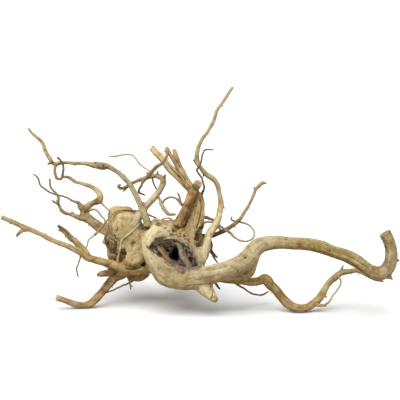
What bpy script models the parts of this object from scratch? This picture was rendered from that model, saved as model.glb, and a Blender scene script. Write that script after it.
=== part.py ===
"""Spiderwood root: the peeled, dried root burl of an azalea, as sold for aquariums.

It grew in one piece, so it is one solid.

Metres, +Z up. The root lies on three low points of its own: a hooked root on the left, a sagging
root on the right and a root that runs out behind the burl. It is seen from the front, looking along +Y.
The origin is on the floor, under the middle of the root's box.
"""

import math

import bmesh
import bpy
from mathutils import Matrix, Vector

NAME = "spiderwood_root"
MM = 0.001

# The front drawing. Every route below is laid out on it at full size, in millimetres: across from the left,
# down from the top, then the depth behind the middle of the burl, and the radius.
EYE_DISTANCE = 1500.0  # the drawing is what an eye sees from this far, so what is nearer is drawn larger
EYE_RISE = math.radians(12)  # and from this far above the level
MIDDLE_ACROSS = 200.0
MIDDLE_DOWN = 200.0
MIDDLE_HEIGHT = 110.4  # of the drawing's middle above the floor
ORIGIN_ACROSS = 201.21
ORIGIN_DEPTH = 37.73  # the origin's place behind the middle of the burl

BURL_VOXEL = 1.7  # grain of the burl's skin where its masses grow together
BURL_SMOOTHING = 10
BURL_TRIANGLES = 3100
HOLLOW_VOXEL = 1.2
HOLLOW_SMOOTHING = 3
HOLLOW_TRIANGLES = 700
BURL_STEP = 3.0  # stretch of the heavy roots' mesh, which the skin then covers
BURL_SIDES = 16
ROOT_STEP = 7.5
ROOT_SIDES = 8
THIN_ROOT_SIDES = 6  # of a root nowhere thicker than this
THIN_ROOT = 2.9
ROOTLET_STEP = 7.0
ROOTLET_SIDES = 4
FLOOR_SLAB = Vector((600, 500, 20))  # the slab that gives each foot its flat
LUMP_ROUNDS = 4  # how often a lump's ball is divided
SAME_POINT = 0.01  # points nearer than this are one
SOFTNESS = 0.5  # how far each round moves a point towards its neighbours' middle
CREASE = math.radians(40)  # edges sharper than this stay sharp
WOOD_COLOUR = (0.56, 0.43, 0.24, 1)
WOOD_ROUGHNESS = 0.8

# Heavy roots that grow together with the burl. The first wraps round the hollow and runs out to the right.
BURL_ROOTS = {
    "rim_and_limb": [
        (172, 234.6, -9, 2.4), (164, 233.4, -12, 4.8), (155.6, 234.4, -15, 8.4), (151, 243, -17, 8.4),
        (151.2, 251, -18.6, 8.4), (155.6, 262, -21, 9.4),
        (167, 274, -24, 12.6), (184, 278.5, -26, 12), (200, 277.5, -28, 11.4), (214, 274.2, -30, 9.4),
        (228, 269.6, -29, 8.9), (240, 264.4, -26, 9.2), (249.8, 256.6, -22, 9.4), (256.6, 247.6, -18, 8.6),
        (265, 243.7, -15, 7.3), (278, 242, -14, 6.7), (291, 243, -14, 6.2), (306, 244, -16, 6.3),
        (320, 246.5, -20, 6.8), (332, 251, -26, 6.2), (345, 254.8, -32, 6.6), (356, 260, -36, 7),
        (366, 267.5, -38, 6.6), (375, 272.6, -38, 7), (383, 272.6, -36, 7.6), (389, 266.5, -33, 7),
        (391.5, 258, -30, 6.4), (391.2, 249, -28, 6), (388.5, 240, -28, 6), (383.8, 231, -28, 6.4),
    ],
    "lobe_under_limb": [
        (251, 258, -22, 8.4), (250, 266, -22, 7.2), (248.2, 274.4, -20, 4.9), (240, 272.4, -19, 5.6),
        (230, 274, -21, 6),
    ],
    "front_nub": [
        (199, 279, -27, 10), (206, 289, -31, 8), (211.4, 295.6, -33, 5.4), (217.2, 301.4, -35, 3.2),
    ],
    "trunk": [
        (184, 250, 4, 15), (190, 234, 4, 12), (195, 219, 8, 9), (198.6, 206, 12, 6.6), (198.6, 195, 14, 5),
    ],
    "trunk_ridge": [
        (190, 245, -6, 8.4), (192.4, 235, -4, 9.2), (194.6, 225, 0, 9.4), (196.4, 215, 3, 8.4),
        (197.8, 206, 6, 7), (198.4, 198, 9, 5), (198.4, 192, 11, 3.6),
    ],
    "hollow_wall_right": [(188, 243, -12, 5), (193, 252, -16, 5.4), (197, 261, -19, 6), (198, 270, -20, 8)],
    "arch_foot": [(200, 262, -16, 6), (204.6, 252, -13, 4.4), (206.6, 243, -8, 3.8)],
    "top_lump_left": [(152, 222, 4, 4.6), (159, 225, 2, 6)],
    "top_lump_right": [(166, 226, 2, 7), (177, 228, -2, 7)],
    "left_foot_roots": [(150, 266, 6, 8), (136, 269, 6, 6.6), (124, 270.5, 6, 7), (113, 279, 4, 4.8)],
    "left_floor_root": [(126, 269, 4, 6), (114, 265.5, 0, 5.2), (102, 262, -5, 3.8)],
    "bottom_flap": [(127, 276, 12, 4.4), (139.6, 277, 13, 5.2), (148.6, 272.4, 14, 4.4)],
    "hook_base": [(141, 213.6, 8, 4.6), (134.6, 221, 4, 5), (127, 229, 2, 5.4), (116, 236, 2, 5)],
    "back_foot_root": [(178, 248, 26, 12), (180, 254, 48, 7.4), (183, 262, 66, 5.8)],
    "back_left_root": [(134, 246, 34, 9), (130, 249, 54, 6), (127, 251, 70, 4.6)],
}

# Knobbly masses of the burl: middle across, down and depth, half the size across, in height and in depth,
# and how square they are, where 1 is a ball and less is blockier.
BURL_LUMPS = {
    "core": (178, 247, 8, 27, 24, 24, 0.9),
    "bowl": (174, 261, -15, 25, 25, 21, 1),
    "block_crest": (120.4, 213.4, 20, 9.2, 5.8, 11, 0.55),
    "block_upper": (121, 222, 18, 11.4, 10.4, 15, 0.65),
    "block_shoulder": (133, 225, 15, 9, 9.6, 15, 0.8),
    "block_middle": (126, 236, 19, 15, 13, 17, 0.75),
    "block_left": (112.6, 246, 14, 6, 15, 12, 0.7),
    "block_low": (134.6, 252.6, 9, 13, 15, 15, 0.85),
    "block_joint": (148, 243, 14, 12, 19, 19, 0.9),
    "block_face": (124.5, 227, 14, 14.4, 16, 12.6, 0.6),
    "block_flank": (131, 241, 10, 15, 19, 13.4, 0.75),
    "brow": (164.6, 230, -1.4, 15, 9.6, 11.6, 0.85),
    "apron": (178, 235.6, -3.4, 11, 9.6, 9.6, 0.9),
    "foot_web": (197, 256.4, -12, 8, 9.4, 8, 0.8),
    "left_bump": (105, 240, 12, 4, 4.6, 6, 1),
    "block_base": (121, 256, 18, 11, 11, 12, 0.9),
    "back_knob": (158, 246, 32, 15, 15, 12, 0.9),
    "back_top_knob": (170, 229, 24, 12, 9, 11, 0.9),
    "block_back_knob": (121, 236, 34, 9, 11, 8, 0.9),
}

# The hollow that the rotted heart left, cut into the burl from the front: its outline on the drawing at
# several depths, all with their points in the same order from the left corner over the top.
HOLLOW = [
    (-66, [
        (147, 248), (155, 238), (162, 236), (172, 236), (179, 239.4), (186, 244), (192, 253), (200, 267),
        (186, 268), (173, 266), (163, 259), (155, 254),
    ]),
    (-26, [
        (147.4, 248), (155.2, 238.2), (162, 236.2), (172, 236.2), (179, 239.6), (186, 244.4),
        (191.8, 253.4), (199.4, 266.8), (186, 267.8), (173, 265.8), (163, 258.8), (155, 253.8),
    ]),
    (-20, [
        (148.6, 247.8), (156, 239), (162.6, 237), (171.6, 237.2), (178.4, 240.4), (185, 245),
        (190.6, 253.6), (197.6, 266.2), (185, 267.2), (172.8, 265.2), (163.6, 258.4), (155.6, 253.2),
    ]),
    (-15, [
        (156, 247.6), (160.6, 242), (165, 240.6), (171, 241), (177, 243), (182.4, 247.4), (187.4, 255),
        (192.4, 264.4), (182, 265.4), (172.4, 263.4), (165, 257), (159.6, 251.4),
    ]),
    (-11, [
        (163, 250), (166, 246), (168.6, 245), (172, 245), (175.6, 245.4), (179, 248.6), (182.4, 255.4),
        (185.6, 262.6), (179.6, 263.4), (172.8, 261.6), (167.4, 256.6), (164.6, 252.8),
    ]),
    (-7, [
        (167.4, 254.6), (169, 252), (170.8, 250), (173, 247.8), (175.2, 246.6), (177.4, 247.8), (179, 252),
        (180.4, 258.6), (178.6, 261.4), (174.4, 260.8), (171, 259), (168.6, 256.8),
    ]),
    (-2, [
        (169.4, 257), (171, 254.8), (172.6, 252.2), (174, 249.6), (175.4, 247.8), (176.8, 248.2),
        (177.8, 251.4), (178.4, 256.4), (178.2, 260.2), (175.2, 260), (172.2, 259.2), (170.4, 258.2),
    ]),
    (13, [
        (171, 257), (172, 255), (173, 253), (174.2, 251), (175.4, 250), (176.4, 250), (177, 252),
        (177.4, 256), (177.4, 259), (175.2, 259), (173, 258.6), (171.6, 258),
    ]),
]
HOLLOW_ROOTS = {
    "groove": [(200, 227, -4, 3.4), (198.6, 235, -9, 4.6), (198.2, 241, -12, 4.8)],
    "block_pit": [(122.6, 249.6, -4, 3.2), (123.2, 253.6, -3, 4.2), (121.6, 258, -3, 4)],
    "block_undercut": [(130, 268.6, -8, 1.4), (138, 267.4, -6, 2), (143.6, 264, -6, 2.4)],
}

# Roots with a round section that leave the burl or one another.
ROOTS = {
    "sagging_root": [
        (196, 274, -22, 6), (208, 277, -15, 4.8), (222, 279.4, -10, 3.6), (238, 280.4, -9, 3.8),
        (250, 281.6, -10, 4.2), (258, 281, -10, 4.5),
        (265, 279.2, -10, 5.2), (271, 285, -11, 4.8), (279, 294, -13, 4.5), (286.5, 302.5, -17, 4.7),
        (294, 307.3, -20, 4.6), (302, 308.6, -21, 4.3), (309.5, 306.2, -19.6, 4), (316.5, 301, -16, 3.8),
        (322.5, 293, -11, 3.5), (328, 284, -7, 3.4), (334.5, 277.6, -4, 3.2), (341, 273.2, -2, 3.3),
        (348, 271.6, -2, 2.7), (357, 270.6, -5, 2.5), (366, 274.4, -12, 2.2), (375, 279, -18, 1.8),
        (383.5, 281.7, -22, 1.1),
    ],
    "arch_root": [
        (203, 258, -11, 5), (206, 249, -9, 4.4), (207.5, 240, -6, 3.8), (210.5, 232, -2, 3.9),
        (215.5, 225.5, 2, 3.8),
        (218.6, 218, 4, 3.2), (219.8, 211, 6, 3), (221, 205, 7, 3.1), (220.4, 199, 8, 2.7),
        (218.8, 191.5, 10, 2.4),
        (217.8, 185.5, 11, 2.6), (214.6, 180, 12, 2.9), (209, 176.2, 13, 2.7), (204.4, 172.4, 14, 2.4),
        (201, 167.6, 15, 2.3), (197.8, 163, 16, 2.6), (196.6, 157, 18, 2.3), (197.6, 150, 20, 2.1),
        (199.6, 144, 22, 2),
        (202.2, 139, 24, 2.1), (206.2, 134, 26, 1.8), (210.2, 127.4, 29, 1.8), (213.6, 121, 32, 1.8),
        (215.6, 114.4, 35, 1.7), (217.6, 109.4, 38, 1.7), (222.2, 103, 41, 1.6), (226.2, 97.2, 44, 1.6),
        (232.8, 87, 50, 1.5),
    ],
    "back_root_of_right": [
        (196, 238, 16, 5), (206, 237, 22, 3.4), (214, 235, 25, 2.6), (222, 231.6, 26, 2.4),
        (229.5, 227.4, 27, 2.2),
        (236.4, 222.8, 29, 2.1), (240.4, 218.6, 30, 1.8), (244.4, 212, 33, 1.7), (248.4, 205.6, 35, 1.6),
        (251.8, 199, 37, 1.6), (254.4, 192.8, 39, 1.7), (256, 189, 40, 1.7), (259.4, 185.2, 42, 2.1),
        (262.4, 182.8, 43, 1.9), (267, 183.2, 44, 0.8),
    ],
    "back_root_fork": [
        (208, 238, 22, 2.8), (210.6, 244, 24, 2.2), (210.4, 249.5, 25, 2.1), (213.2, 254, 27, 1.9),
        (217.4, 257.6, 30, 1.2),
    ],
    "back_root_fork_tip": [(210, 249, 25, 1.3), (213.6, 257, 24, 1), (218.2, 263.8, 22, 0.7)],
    "long_upper_root": [
        (148, 226, 2, 4.4), (146.6, 220, 3, 3.7), (144, 213, 6, 3.4), (140.8, 205.6, 10, 3.3),
        (137, 198, 14, 3.1),
        (133, 190, 19, 2.8), (129, 183.2, 24, 2.4), (122, 176.2, 30, 2.3), (115.2, 170.8, 36, 2.3),
        (109.4, 167, 40, 2.6),
        (103.4, 166.2, 43, 3.8), (96.4, 165.4, 46, 3.4), (88.4, 164, 50, 2.4), (80, 163.2, 54, 1.9),
        (70, 162.8, 57, 1.7),
        (62, 163, 60, 1.8), (56, 164.2, 62, 2.3), (52, 162.4, 64, 2), (50, 158.4, 66, 2.1),
        (47, 153.6, 69, 1.9),
        (44.6, 149.4, 72, 2.1), (43.4, 145, 75, 1.8), (41.2, 141, 78, 1.8), (37, 137.4, 81, 1.7),
        (33, 134.2, 85, 1.4),
        (30, 130.8, 88, 1.2), (28.4, 128, 90, 1),
    ],
    "hooked_upper_root": [
        (108, 234, 18, 5), (116, 233.4, 12, 5.8), (124, 229.6, 8, 6), (132.6, 221.8, 10, 4.8),
        (139.6, 213.8, 13, 4.2),
        (145.6, 206.8, 17, 3.5), (151.6, 200.2, 21, 3.2), (157.4, 193.4, 25, 3.1), (161.6, 186.8, 29, 3.1),
        (163.2, 181, 32, 3.2), (160.4, 177.4, 34, 2.8), (154, 176, 36, 2.3), (148, 177.4, 37, 2.1),
        (142, 179, 38, 2),
        (135, 181.6, 38, 1.9), (129, 185, 37, 1.9), (124.8, 187.6, 36, 1.7), (121, 188.4, 34, 1.6),
        (118.6, 187, 32, 1.5),
        (119, 184.9, 31, 1.3), (121.4, 185.4, 30, 1),
    ],
    "forked_left_root": [
        (122, 238, 20, 8), (112, 233, 22, 6.2), (101, 228, 27, 5.1), (93.4, 222.4, 31, 4.8),
        (88, 217.6, 34, 4.6),
        (84.6, 213, 36, 4.4), (85.6, 208.6, 37, 3.8), (89.6, 205.4, 38, 3.1), (94, 202.8, 40, 2.9),
        (99, 200.6, 43, 3.6),
        (100.6, 196, 46, 3.3), (98, 191.2, 49, 2.9), (93, 187.6, 52, 2.4), (87, 184.8, 55, 2.1),
        (80, 183, 58, 1.7),
        (75, 181.6, 60, 1.7), (71.2, 178.6, 62, 1.7), (67.6, 176.9, 63, 1.6), (63, 176.8, 64, 1.3),
    ],
    "forked_left_low": [
        (88, 219, 34, 4.4), (83, 217.6, 34, 3.6), (78.6, 217.4, 33, 2.8), (74, 215.8, 32, 2.2),
        (69, 214, 31, 1.8),
        (65, 213, 30, 1.9), (61.6, 210.4, 28, 1.9), (59.6, 206.6, 27, 1.7), (58.2, 203, 26, 1.6),
        (58.8, 199.4, 25, 1.4),
        (58, 195.8, 24, 1.5), (55, 192.4, 22, 1.2), (51.6, 189, 21, 1.2), (50, 185.4, 20, 1.1),
        (50, 181.4, 19, 1.1), (49.8, 178.4, 18, 0.9),
    ],
    "long_lower_root": [
        (132, 270, 6, 5.4), (120, 267, 3, 5.2), (110, 263.8, -2, 4.1), (100, 261.4, -6, 3.7),
        (92, 259.2, -9, 3.8),
        (85, 255.4, -12, 4), (78, 251, -15, 3.6), (71, 247.4, -17, 3.1), (63, 244.4, -20, 2.7),
        (55, 241.4, -23, 2.6),
        (47, 237.6, -25, 2.6), (40, 233.8, -27, 2.5), (32, 230.4, -29, 2.6), (25, 228, -31, 2.9),
        (18, 224.2, -33, 2.5),
        (10, 220.6, -36, 2.4), (1.6, 217.2, -39, 2.4),
    ],
    "left_hook_root": [
        (126, 271, 8, 6), (119, 274.6, 6, 5.6), (113, 279, 4, 4.9), (108, 285, 2, 4.4), (103, 291.2, 0, 4.1),
        (97, 298, -2, 4.1), (91, 303.2, -4, 3.8), (84, 305.4, -5.4, 3.5), (77, 304.4, -7, 3.3),
        (70, 302, -8, 3.1),
        (63, 299.6, -10, 3), (56.6, 297.4, -12, 2.9),
    ],
    "brown_heartwood_root": [
        (178, 225, -4, 5.4), (181.4, 218.4, -5, 5.2), (185, 210.6, -5, 4.9), (187.4, 205.4, -4, 4.3),
        (189.8, 198, -2, 4.6), (192, 191.6, 0, 4.4), (193.6, 187.4, 1, 3.4),
    ],
    "tongue": [
        (156.4, 244.4, -15, 2), (159.8, 250, -18, 2.2), (164.2, 256, -19.6, 2.2), (169, 261.8, -20.6, 2.2),
        (172.4, 266, -21, 2),
    ],
    "hollow_ridge": [
        (177.6, 241.6, -15, 2.6), (180.6, 247, -14, 3.4), (183.4, 255, -15, 3.8), (186.4, 261.6, -17, 4),
        (190, 267, -19, 3.6),
    ],
    "cut_stub": [(194.4, 190, 6, 4.2), (196, 186.8, 3, 4.3), (198.6, 183, -1, 4.1)],
    "split_left": [
        (198, 197, 14, 4.4), (191.6, 189, 14, 4.8), (185, 183.2, 15, 4.5), (177.6, 176.2, 18, 4.4),
        (170.6, 168.8, 21, 4.2),
        (164, 161, 24, 3.8), (157, 153.6, 27, 3.5), (151.4, 147.6, 30, 3),
    ],
    "split_middle": [
        (187, 183, 13, 3.6), (179, 169, 13, 2.7), (172.6, 158.6, 12, 2), (168.4, 151.6, 12, 2.1),
        (166.2, 147, 12, 1.8),
    ],
    "split_right": [
        (195, 195, 12, 4.4), (188.4, 184.4, 10, 4.3), (182.4, 174, 8, 3.6), (178.6, 165, 7, 3.1),
        (175.8, 156.8, 5, 2.8), (173.8, 149.4, 4, 2),
    ],
    "brown_stub": [
        (114, 270.6, 2, 2.8), (107.4, 272.8, -4, 3.6), (101.8, 274, -9, 3.2), (97.4, 275.2, -12, 1.6),
    ],
    "split_spur": [
        (88, 255, -12, 3.2), (81, 247.8, -10, 3.8), (75.6, 241.6, -9, 3.2), (70.6, 236, -8, 2.1),
        (66.6, 231.6, -8, 1.8), (62, 228.4, -8, 1.7), (57.6, 225.6, -8, 1.5),
    ],
    "split_spur_low": [
        (76, 242.6, -9, 2.2), (71, 240.4, -10, 1.5), (66.6, 236.2, -11, 1.3), (63, 232, -11, 1.2),
        (58.6, 229.4, -11, 1.3),
    ],
    "back_foot": [
        (181, 256, 50, 6.8), (183.4, 263, 68, 5.4), (186, 270.4, 82, 4.6), (189, 275.6, 95, 4.2),
        (193, 277.5, 103, 3.9), (197.6, 273.6, 111, 3.2), (202, 267.6, 118, 2.6),
    ],
    "back_left": [
        (130.4, 249, 54, 5.6), (127.4, 251, 70, 4.4), (124, 250, 84, 3.6), (119, 244, 96, 3),
        (115, 236, 104, 2.6),
    ],
    "back_upper": [(186, 236, 24, 7), (183, 234, 42, 4.6), (180, 238, 57, 3.7), (178, 246, 70, 3)],
}

# Rootlets, spurs and broken tips, all thin.
ROOTLETS = {
    "limb_tip_spur": [(394, 260, -30, 3.4), (399.6, 260.6, -30, 0.8)],
    "limb_corner": [(386, 274, -36, 4.6), (392.6, 279.6, -37, 1)],
    "loop_base": [(313, 303.6, -18, 2.6), (320, 305.2, -20, 1.5), (326.6, 305.8, -22, 1.2)],
    "loop": [
        (324.6, 305.2, -22, 1.1), (329.2, 301.6, -23, 0.9), (333.4, 295, -22, 0.8), (338, 289, -19, 0.8),
        (340.7, 284, -13, 0.8), (340.4, 280, -9, 0.8), (338, 276, -5, 1),
    ],
    "sagging_spur_top": [(341, 271.6, -2, 1.8), (343.3, 264.8, -2, 0.6)],
    "sagging_spur_low": [(322.6, 294, -11, 1.4), (326.8, 297.8, -10, 0.8)],
    "under_rootlet": [
        (230, 280, -9, 1.6), (236.6, 284.2, -6, 0.9), (243.6, 288.2, -2, 0.8), (250.6, 292.8, 3, 0.8),
        (257, 294.9, 7, 0.8), (263, 294.8, 10, 0.8), (268.6, 291.2, 12, 0.8),
    ],
    "dark_tip": [(212, 279, -14, 1.4), (220, 289.2, -9, 0.9)],
    "arch_spur_right": [(221.4, 205.4, 7, 2), (224.8, 208.4, 7, 0.7)],
    "arch_spur_left": [(198, 164.6, 16, 1.8), (193, 159.6, 15, 0.8)],
    "arch_spur_low": [(205, 172.6, 14, 1.8), (202.6, 177, 14, 0.7)],
    "wiry_hook": [
        (200.6, 198, 14, 1.6), (202, 193.6, 10, 1.2), (204, 188.6, 6, 1), (203, 182.6, 5, 0.9),
        (201.4, 177.4, 6, 0.9), (198.4, 173, 8, 0.9),
        (196.6, 169.6, 9, 0.9), (199.4, 166, 10, 0.8), (201.2, 161.4, 12, 0.8), (202.2, 155.4, 13, 0.8),
        (204.8, 150, 15, 0.8), (209.4, 149.6, 17, 0.7), (214, 149.8, 20, 0.6),
    ],
    "tip_knob": [(255.8, 190.6, 40, 1.5), (253.8, 186.8, 40, 0.8)],
    "ring_rootlet": [
        (199, 218, 12, 2.4), (205.6, 217.4, 14, 1.6), (211, 219.2, 16, 1.3), (216.4, 222, 18, 1.2),
        (221.6, 227, 16, 1.2), (226.4, 230.6, 14, 1.3),
        (231, 233.4, 11, 1.3), (234, 237, 8, 1), (240, 240.2, 4, 0.9), (246, 241.2, 1, 0.8),
        (251, 239.8, 0, 0.8), (254, 235.6, 3, 0.8),
        (253.4, 230, 8, 0.8), (250, 226, 14, 0.8), (245, 223.2, 23, 0.8), (239, 222, 34, 0.8),
        (234.4, 221.2, 38, 0.8), (231.4, 219.4, 39, 0.8), (231.6, 216.4, 40, 0.6),
    ],
    "short_arc": [
        (202, 224.4, 12, 1.2), (206.6, 222, 12, 0.8), (213.6, 222.8, 14, 0.8), (218, 227, 18, 0.8),
        (221.6, 231, 25, 0.9),
    ],
    "upper_drop": [
        (55.4, 164.6, 62, 1.8), (55, 169, 58, 1.3), (55.2, 174, 54, 1.3), (57, 178.5, 51, 1.4),
        (61.2, 178.4, 51, 1.4), (62.9, 173, 53, 1.1),
        (63.6, 168, 54, 1), (62.4, 163, 55, 1), (59.8, 159.6, 56, 1), (56.8, 157, 57, 0.9),
    ],
    "upper_left_spur": [(51.6, 161.8, 64, 1.8), (47.4, 164.4, 63, 1.1)],
    "hook_spur": [(163.6, 181, 32, 2.4), (164.4, 177, 31, 1.6), (165.8, 174.2, 30, 0.7)],
    "hook_side": [(129, 186, 37, 1), (122.6, 191.8, 35, 0.7)],
    "hook_drop": [(152, 176.4, 36, 1), (154, 184, 38, 0.7), (157, 190, 40, 0.7)],
    "hook_top_spur": [(158, 176.8, 35, 1.4), (157.4, 170.6, 35, 0.8)],
    "hook_left_spur": [(144.6, 206, 17, 2.4), (142.6, 202, 17, 1)],
    "wavy_tip": [
        (84, 212, 36, 3), (80.6, 206, 34, 3), (78.6, 203, 33, 1.7), (72.6, 200.4, 31, 1),
        (68, 198, 30, 0.9), (63, 196, 29, 0.9), (58, 194.8, 28, 0.8),
        (53, 193.4, 26, 0.8), (48.4, 191.4, 24, 0.8), (44, 188.6, 22, 0.8), (41, 186, 21, 0.8),
        (39.2, 182.6, 20, 0.8), (38.2, 178.8, 19, 0.8), (36, 175.6, 18, 0.7), (33, 174, 18, 0.7),
    ],
    "low_fork_side": [(58.8, 204, 26, 1.3), (55, 202.6, 25, 1.1), (51.8, 200.4, 24, 1)],
    "low_fork_spur": [(76, 216.6, 32, 1.6), (71.4, 211.4, 32, 0.8)],
    "draped_rootlet": [
        (88, 210.6, 36, 1.4), (92, 209.6, 34, 1), (96.4, 210, 30, 1), (99.6, 214, 24, 0.9),
        (103, 217.6, 16, 0.9), (105.8, 222, 8, 0.9), (107.2, 227, 2, 1.1),
        (106.6, 233, 0, 1.2), (105.6, 239, 1, 1.3), (107.4, 245, 5, 1.2),
    ],
    "knee_rootlet": [
        (101.4, 203, 43, 1), (106, 207.4, 36, 0.7), (109.4, 211, 26, 0.7), (112.6, 216, 14, 0.7),
    ],
    "long_arc_rootlet": [
        (86, 253, -10, 1), (85.6, 249, -8, 0.7), (87.2, 244.6, -6, 0.7), (88.4, 240.4, -4, 0.7),
        (91.4, 237.2, -1, 0.7), (95.6, 233.8, 2, 0.9), (99, 230.4, 4, 1.2),
        (102, 226.4, 4, 1.1), (105.6, 222.2, 3, 0.7), (109.6, 217.4, 3, 0.7), (113, 213.8, 5, 0.8),
        (118, 211, 8, 0.8), (124, 209.8, 11, 0.8), (133, 210.4, 14, 0.8),
        (143, 211.8, 16, 0.8), (151, 215.8, 12, 0.8), (157, 218.4, 7, 0.8),
    ],
    "arc_spur": [(97.4, 232.4, 3, 1.1), (95.2, 236, 2, 0.7)],
    "front_rootlet": [
        (141.4, 216, 8, 1.4), (139.8, 222, 4, 1), (137, 227, 1, 1), (132, 231.6, -2, 1),
        (127, 235.2, -3, 1), (122, 240, -3, 1), (120.4, 246, -2, 1),
        (119.6, 251.6, -1, 1), (118, 257.6, 0, 1), (117.6, 264, 1, 1.1),
    ],
    "front_curl": [(107, 240.6, 5, 1.2), (111, 240.6, 2, 1), (113.6, 244.4, 1, 1), (112, 249.6, 2, 1.1)],
    "stick_root": [
        (156.6, 194, 25, 1.8), (159.6, 199.6, 22, 1.3), (161.8, 205, 18, 1.9), (165.2, 210.6, 14, 1.8),
        (168, 213.8, 12, 1.6), (172, 214.4, 10, 1.3), (176, 214.3, 8, 1.1),
    ],
    "stick_arc": [
        (162.4, 203, 19, 1.1), (164.6, 199.8, 18, 1), (168, 197.8, 15, 1), (172, 197.2, 12, 1),
        (176, 198.6, 9, 1), (179.4, 201.6, 6, 1.1), (183.6, 206.6, 1, 1.4),
    ],
    "stick_arc_spur": [(180.6, 202.8, 5, 1.2), (179.4, 197, 5, 0.9), (177, 192.4, 4, 0.8)],
    "crossing_rootlet": [
        (166.4, 150, 12, 2), (167, 154.4, 10, 1.4), (165.2, 159, 9, 1.3), (162.4, 163.2, 10, 1.4),
        (158, 165.4, 13, 1.7), (152.6, 170.6, 19, 1.9), (149, 175, 24, 2),
        (146, 178.2, 28, 1.7), (143.2, 181.6, 30, 1.4), (140.8, 186.4, 32, 1.2), (138.6, 191.4, 34, 1.2),
        (141.6, 193.8, 35, 0.9), (145.4, 195.4, 36, 0.8),
    ],
    "crossing_spur": [(149.6, 174.4, 24, 1.4), (146, 172.6, 23, 1)],
    "high_wire": [
        (150, 174, 22, 1), (148.6, 170.6, 24, 0.7), (144.4, 167.4, 28, 0.7), (140.2, 164.4, 32, 0.7),
        (136.6, 159.8, 36, 0.7), (133.8, 156.2, 40, 0.7), (130.6, 154.5, 42, 0.7),
        (127, 154.2, 44, 0.7), (121, 155.4, 48, 0.7), (115, 156.3, 52, 0.7), (108.6, 156.8, 56, 0.6),
    ],
    "burl_top_wire": [(159, 221.4, 3, 1), (166, 218, 1, 0.7), (172, 218.8, 0, 0.7)],
    "lower_spur": [
        (26, 229.4, -31, 2.6), (21.4, 231, -32, 1.9), (18.4, 233.8, -33, 1.5), (16.8, 237, -34, 1.2),
    ],
    "straight_wire": [
        (105, 292, 1, 1.4), (110, 291.4, 4, 0.8), (122, 286, 12, 0.8), (130, 282.4, 16, 0.9),
        (137, 277.6, 17, 1), (141, 274, 14, 1.2),
    ],
    "drip_rootlet": [(129, 277, 12, 1.2), (129.6, 283, 9, 0.8), (130.6, 286.6, 8, 0.8), (130.7, 290, 7, 0.7)],
    "drip_side": [(130.2, 285, 8, 0.8), (132.8, 286.8, 7, 0.7)],
    "hanging_rootlet": [
        (81, 254, -13, 1.2), (79.8, 259.4, -11, 0.7), (78.4, 263.6, -10, 0.7), (76.7, 267.6, -9, 0.7),
        (77, 272.4, -8, 0.7), (78.2, 277.6, -8, 0.7),
    ],
}


def placed(across, down, depth):
    """The point drawn there at that depth, in metres, and how much larger than drawn the eye sees it."""
    rise = math.sin(EYE_RISE)
    level = math.cos(EYE_RISE)
    eye_y = -EYE_DISTANCE * level
    eye_z = MIDDLE_HEIGHT + EYE_DISTANCE * rise
    up = MIDDLE_DOWN - down
    drawn_y = up * rise
    drawn_z = MIDDLE_HEIGHT + up * level
    reach = (depth - eye_y) / (drawn_y - eye_y)
    x = MIDDLE_ACROSS - ORIGIN_ACROSS + reach * (across - MIDDLE_ACROSS)
    y = depth - ORIGIN_DEPTH
    z = eye_z + reach * (drawn_z - eye_z)
    return Vector((x, y, z)) * MM, reach


def knots_of(route):
    """A route's points as (place, radius) in metres."""
    knots = []
    for across, down, depth, radius in route:
        place, reach = placed(across, down, depth)
        knots.append((place, radius * reach * MM))
    return knots


def smooth(knots, step):
    """Points on one smooth curve through the knots, each with its radius, about a step apart."""
    slopes = []
    for i in range(len(knots)):
        before, after = knots[max(i - 1, 0)], knots[min(i + 1, len(knots) - 1)]
        slopes.append((after[0] - before[0]).normalized())
    points = []
    for i in range(len(knots) - 1):
        (a, ra), (b, rb) = knots[i], knots[i + 1]
        length = (b - a).length
        count = max(1, round(length / step))
        for part in range(count):
            t = part / count
            s = t * t * (3 - 2 * t)
            place = (
                a * (1 - s) + b * s
                + slopes[i] * length * t * (1 - t) ** 2
                - slopes[i + 1] * length * t * t * (1 - t)
            )
            points.append((place, ra + (rb - ra) * s))
    points.append(knots[-1])
    return points


def mesh_object(name, bm, collection):
    mesh = bpy.data.meshes.new(name)
    bm.to_mesh(mesh)
    bm.free()
    obj = bpy.data.objects.new(name, mesh)
    collection.objects.link(obj)
    return obj


def tube(name, route, step, sides, collection):
    """A root along its route: a bevelled curve whose points carry the radius, made a closed mesh."""
    points = smooth(knots_of(route), step * MM)
    curve = bpy.data.curves.new(name, "CURVE")
    curve.dimensions = "3D"
    curve.bevel_depth = 1.0
    curve.bevel_resolution = (sides - 4) // 2
    curve.use_fill_caps = True
    spline = curve.splines.new("POLY")
    spline.points.add(len(points) - 1)
    for point, (place, radius) in zip(spline.points, points):
        point.co = (*place, 1)
        point.radius = radius
    drawn = bpy.data.objects.new(name + "_line", curve)
    collection.objects.link(drawn)
    graph = bpy.context.evaluated_depsgraph_get()
    mesh = bpy.data.meshes.new_from_object(drawn.evaluated_get(graph))
    bpy.data.objects.remove(drawn)
    bm = bmesh.new()
    bm.from_mesh(mesh)
    bmesh.ops.remove_doubles(bm, verts=bm.verts, dist=SAME_POINT * MM)
    bmesh.ops.recalc_face_normals(bm, faces=bm.faces)
    return mesh_object(name, bm, collection)


def lump(name, across, down, depth, half_across, half_height, half_depth, squareness, collection):
    """A knobbly mass of the burl: a ball, or a rounder or squarer block."""
    place, reach = placed(across, down, depth)
    size = Vector((half_across, half_depth, half_height)) * reach * MM
    bm = bmesh.new()
    bmesh.ops.create_icosphere(bm, subdivisions=LUMP_ROUNDS, radius=1.0)
    for vert in bm.verts:
        vert.co = place + Vector(math.copysign(abs(c) ** squareness, c) * r for c, r in zip(vert.co, size))
    return mesh_object(name, bm, collection)


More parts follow.
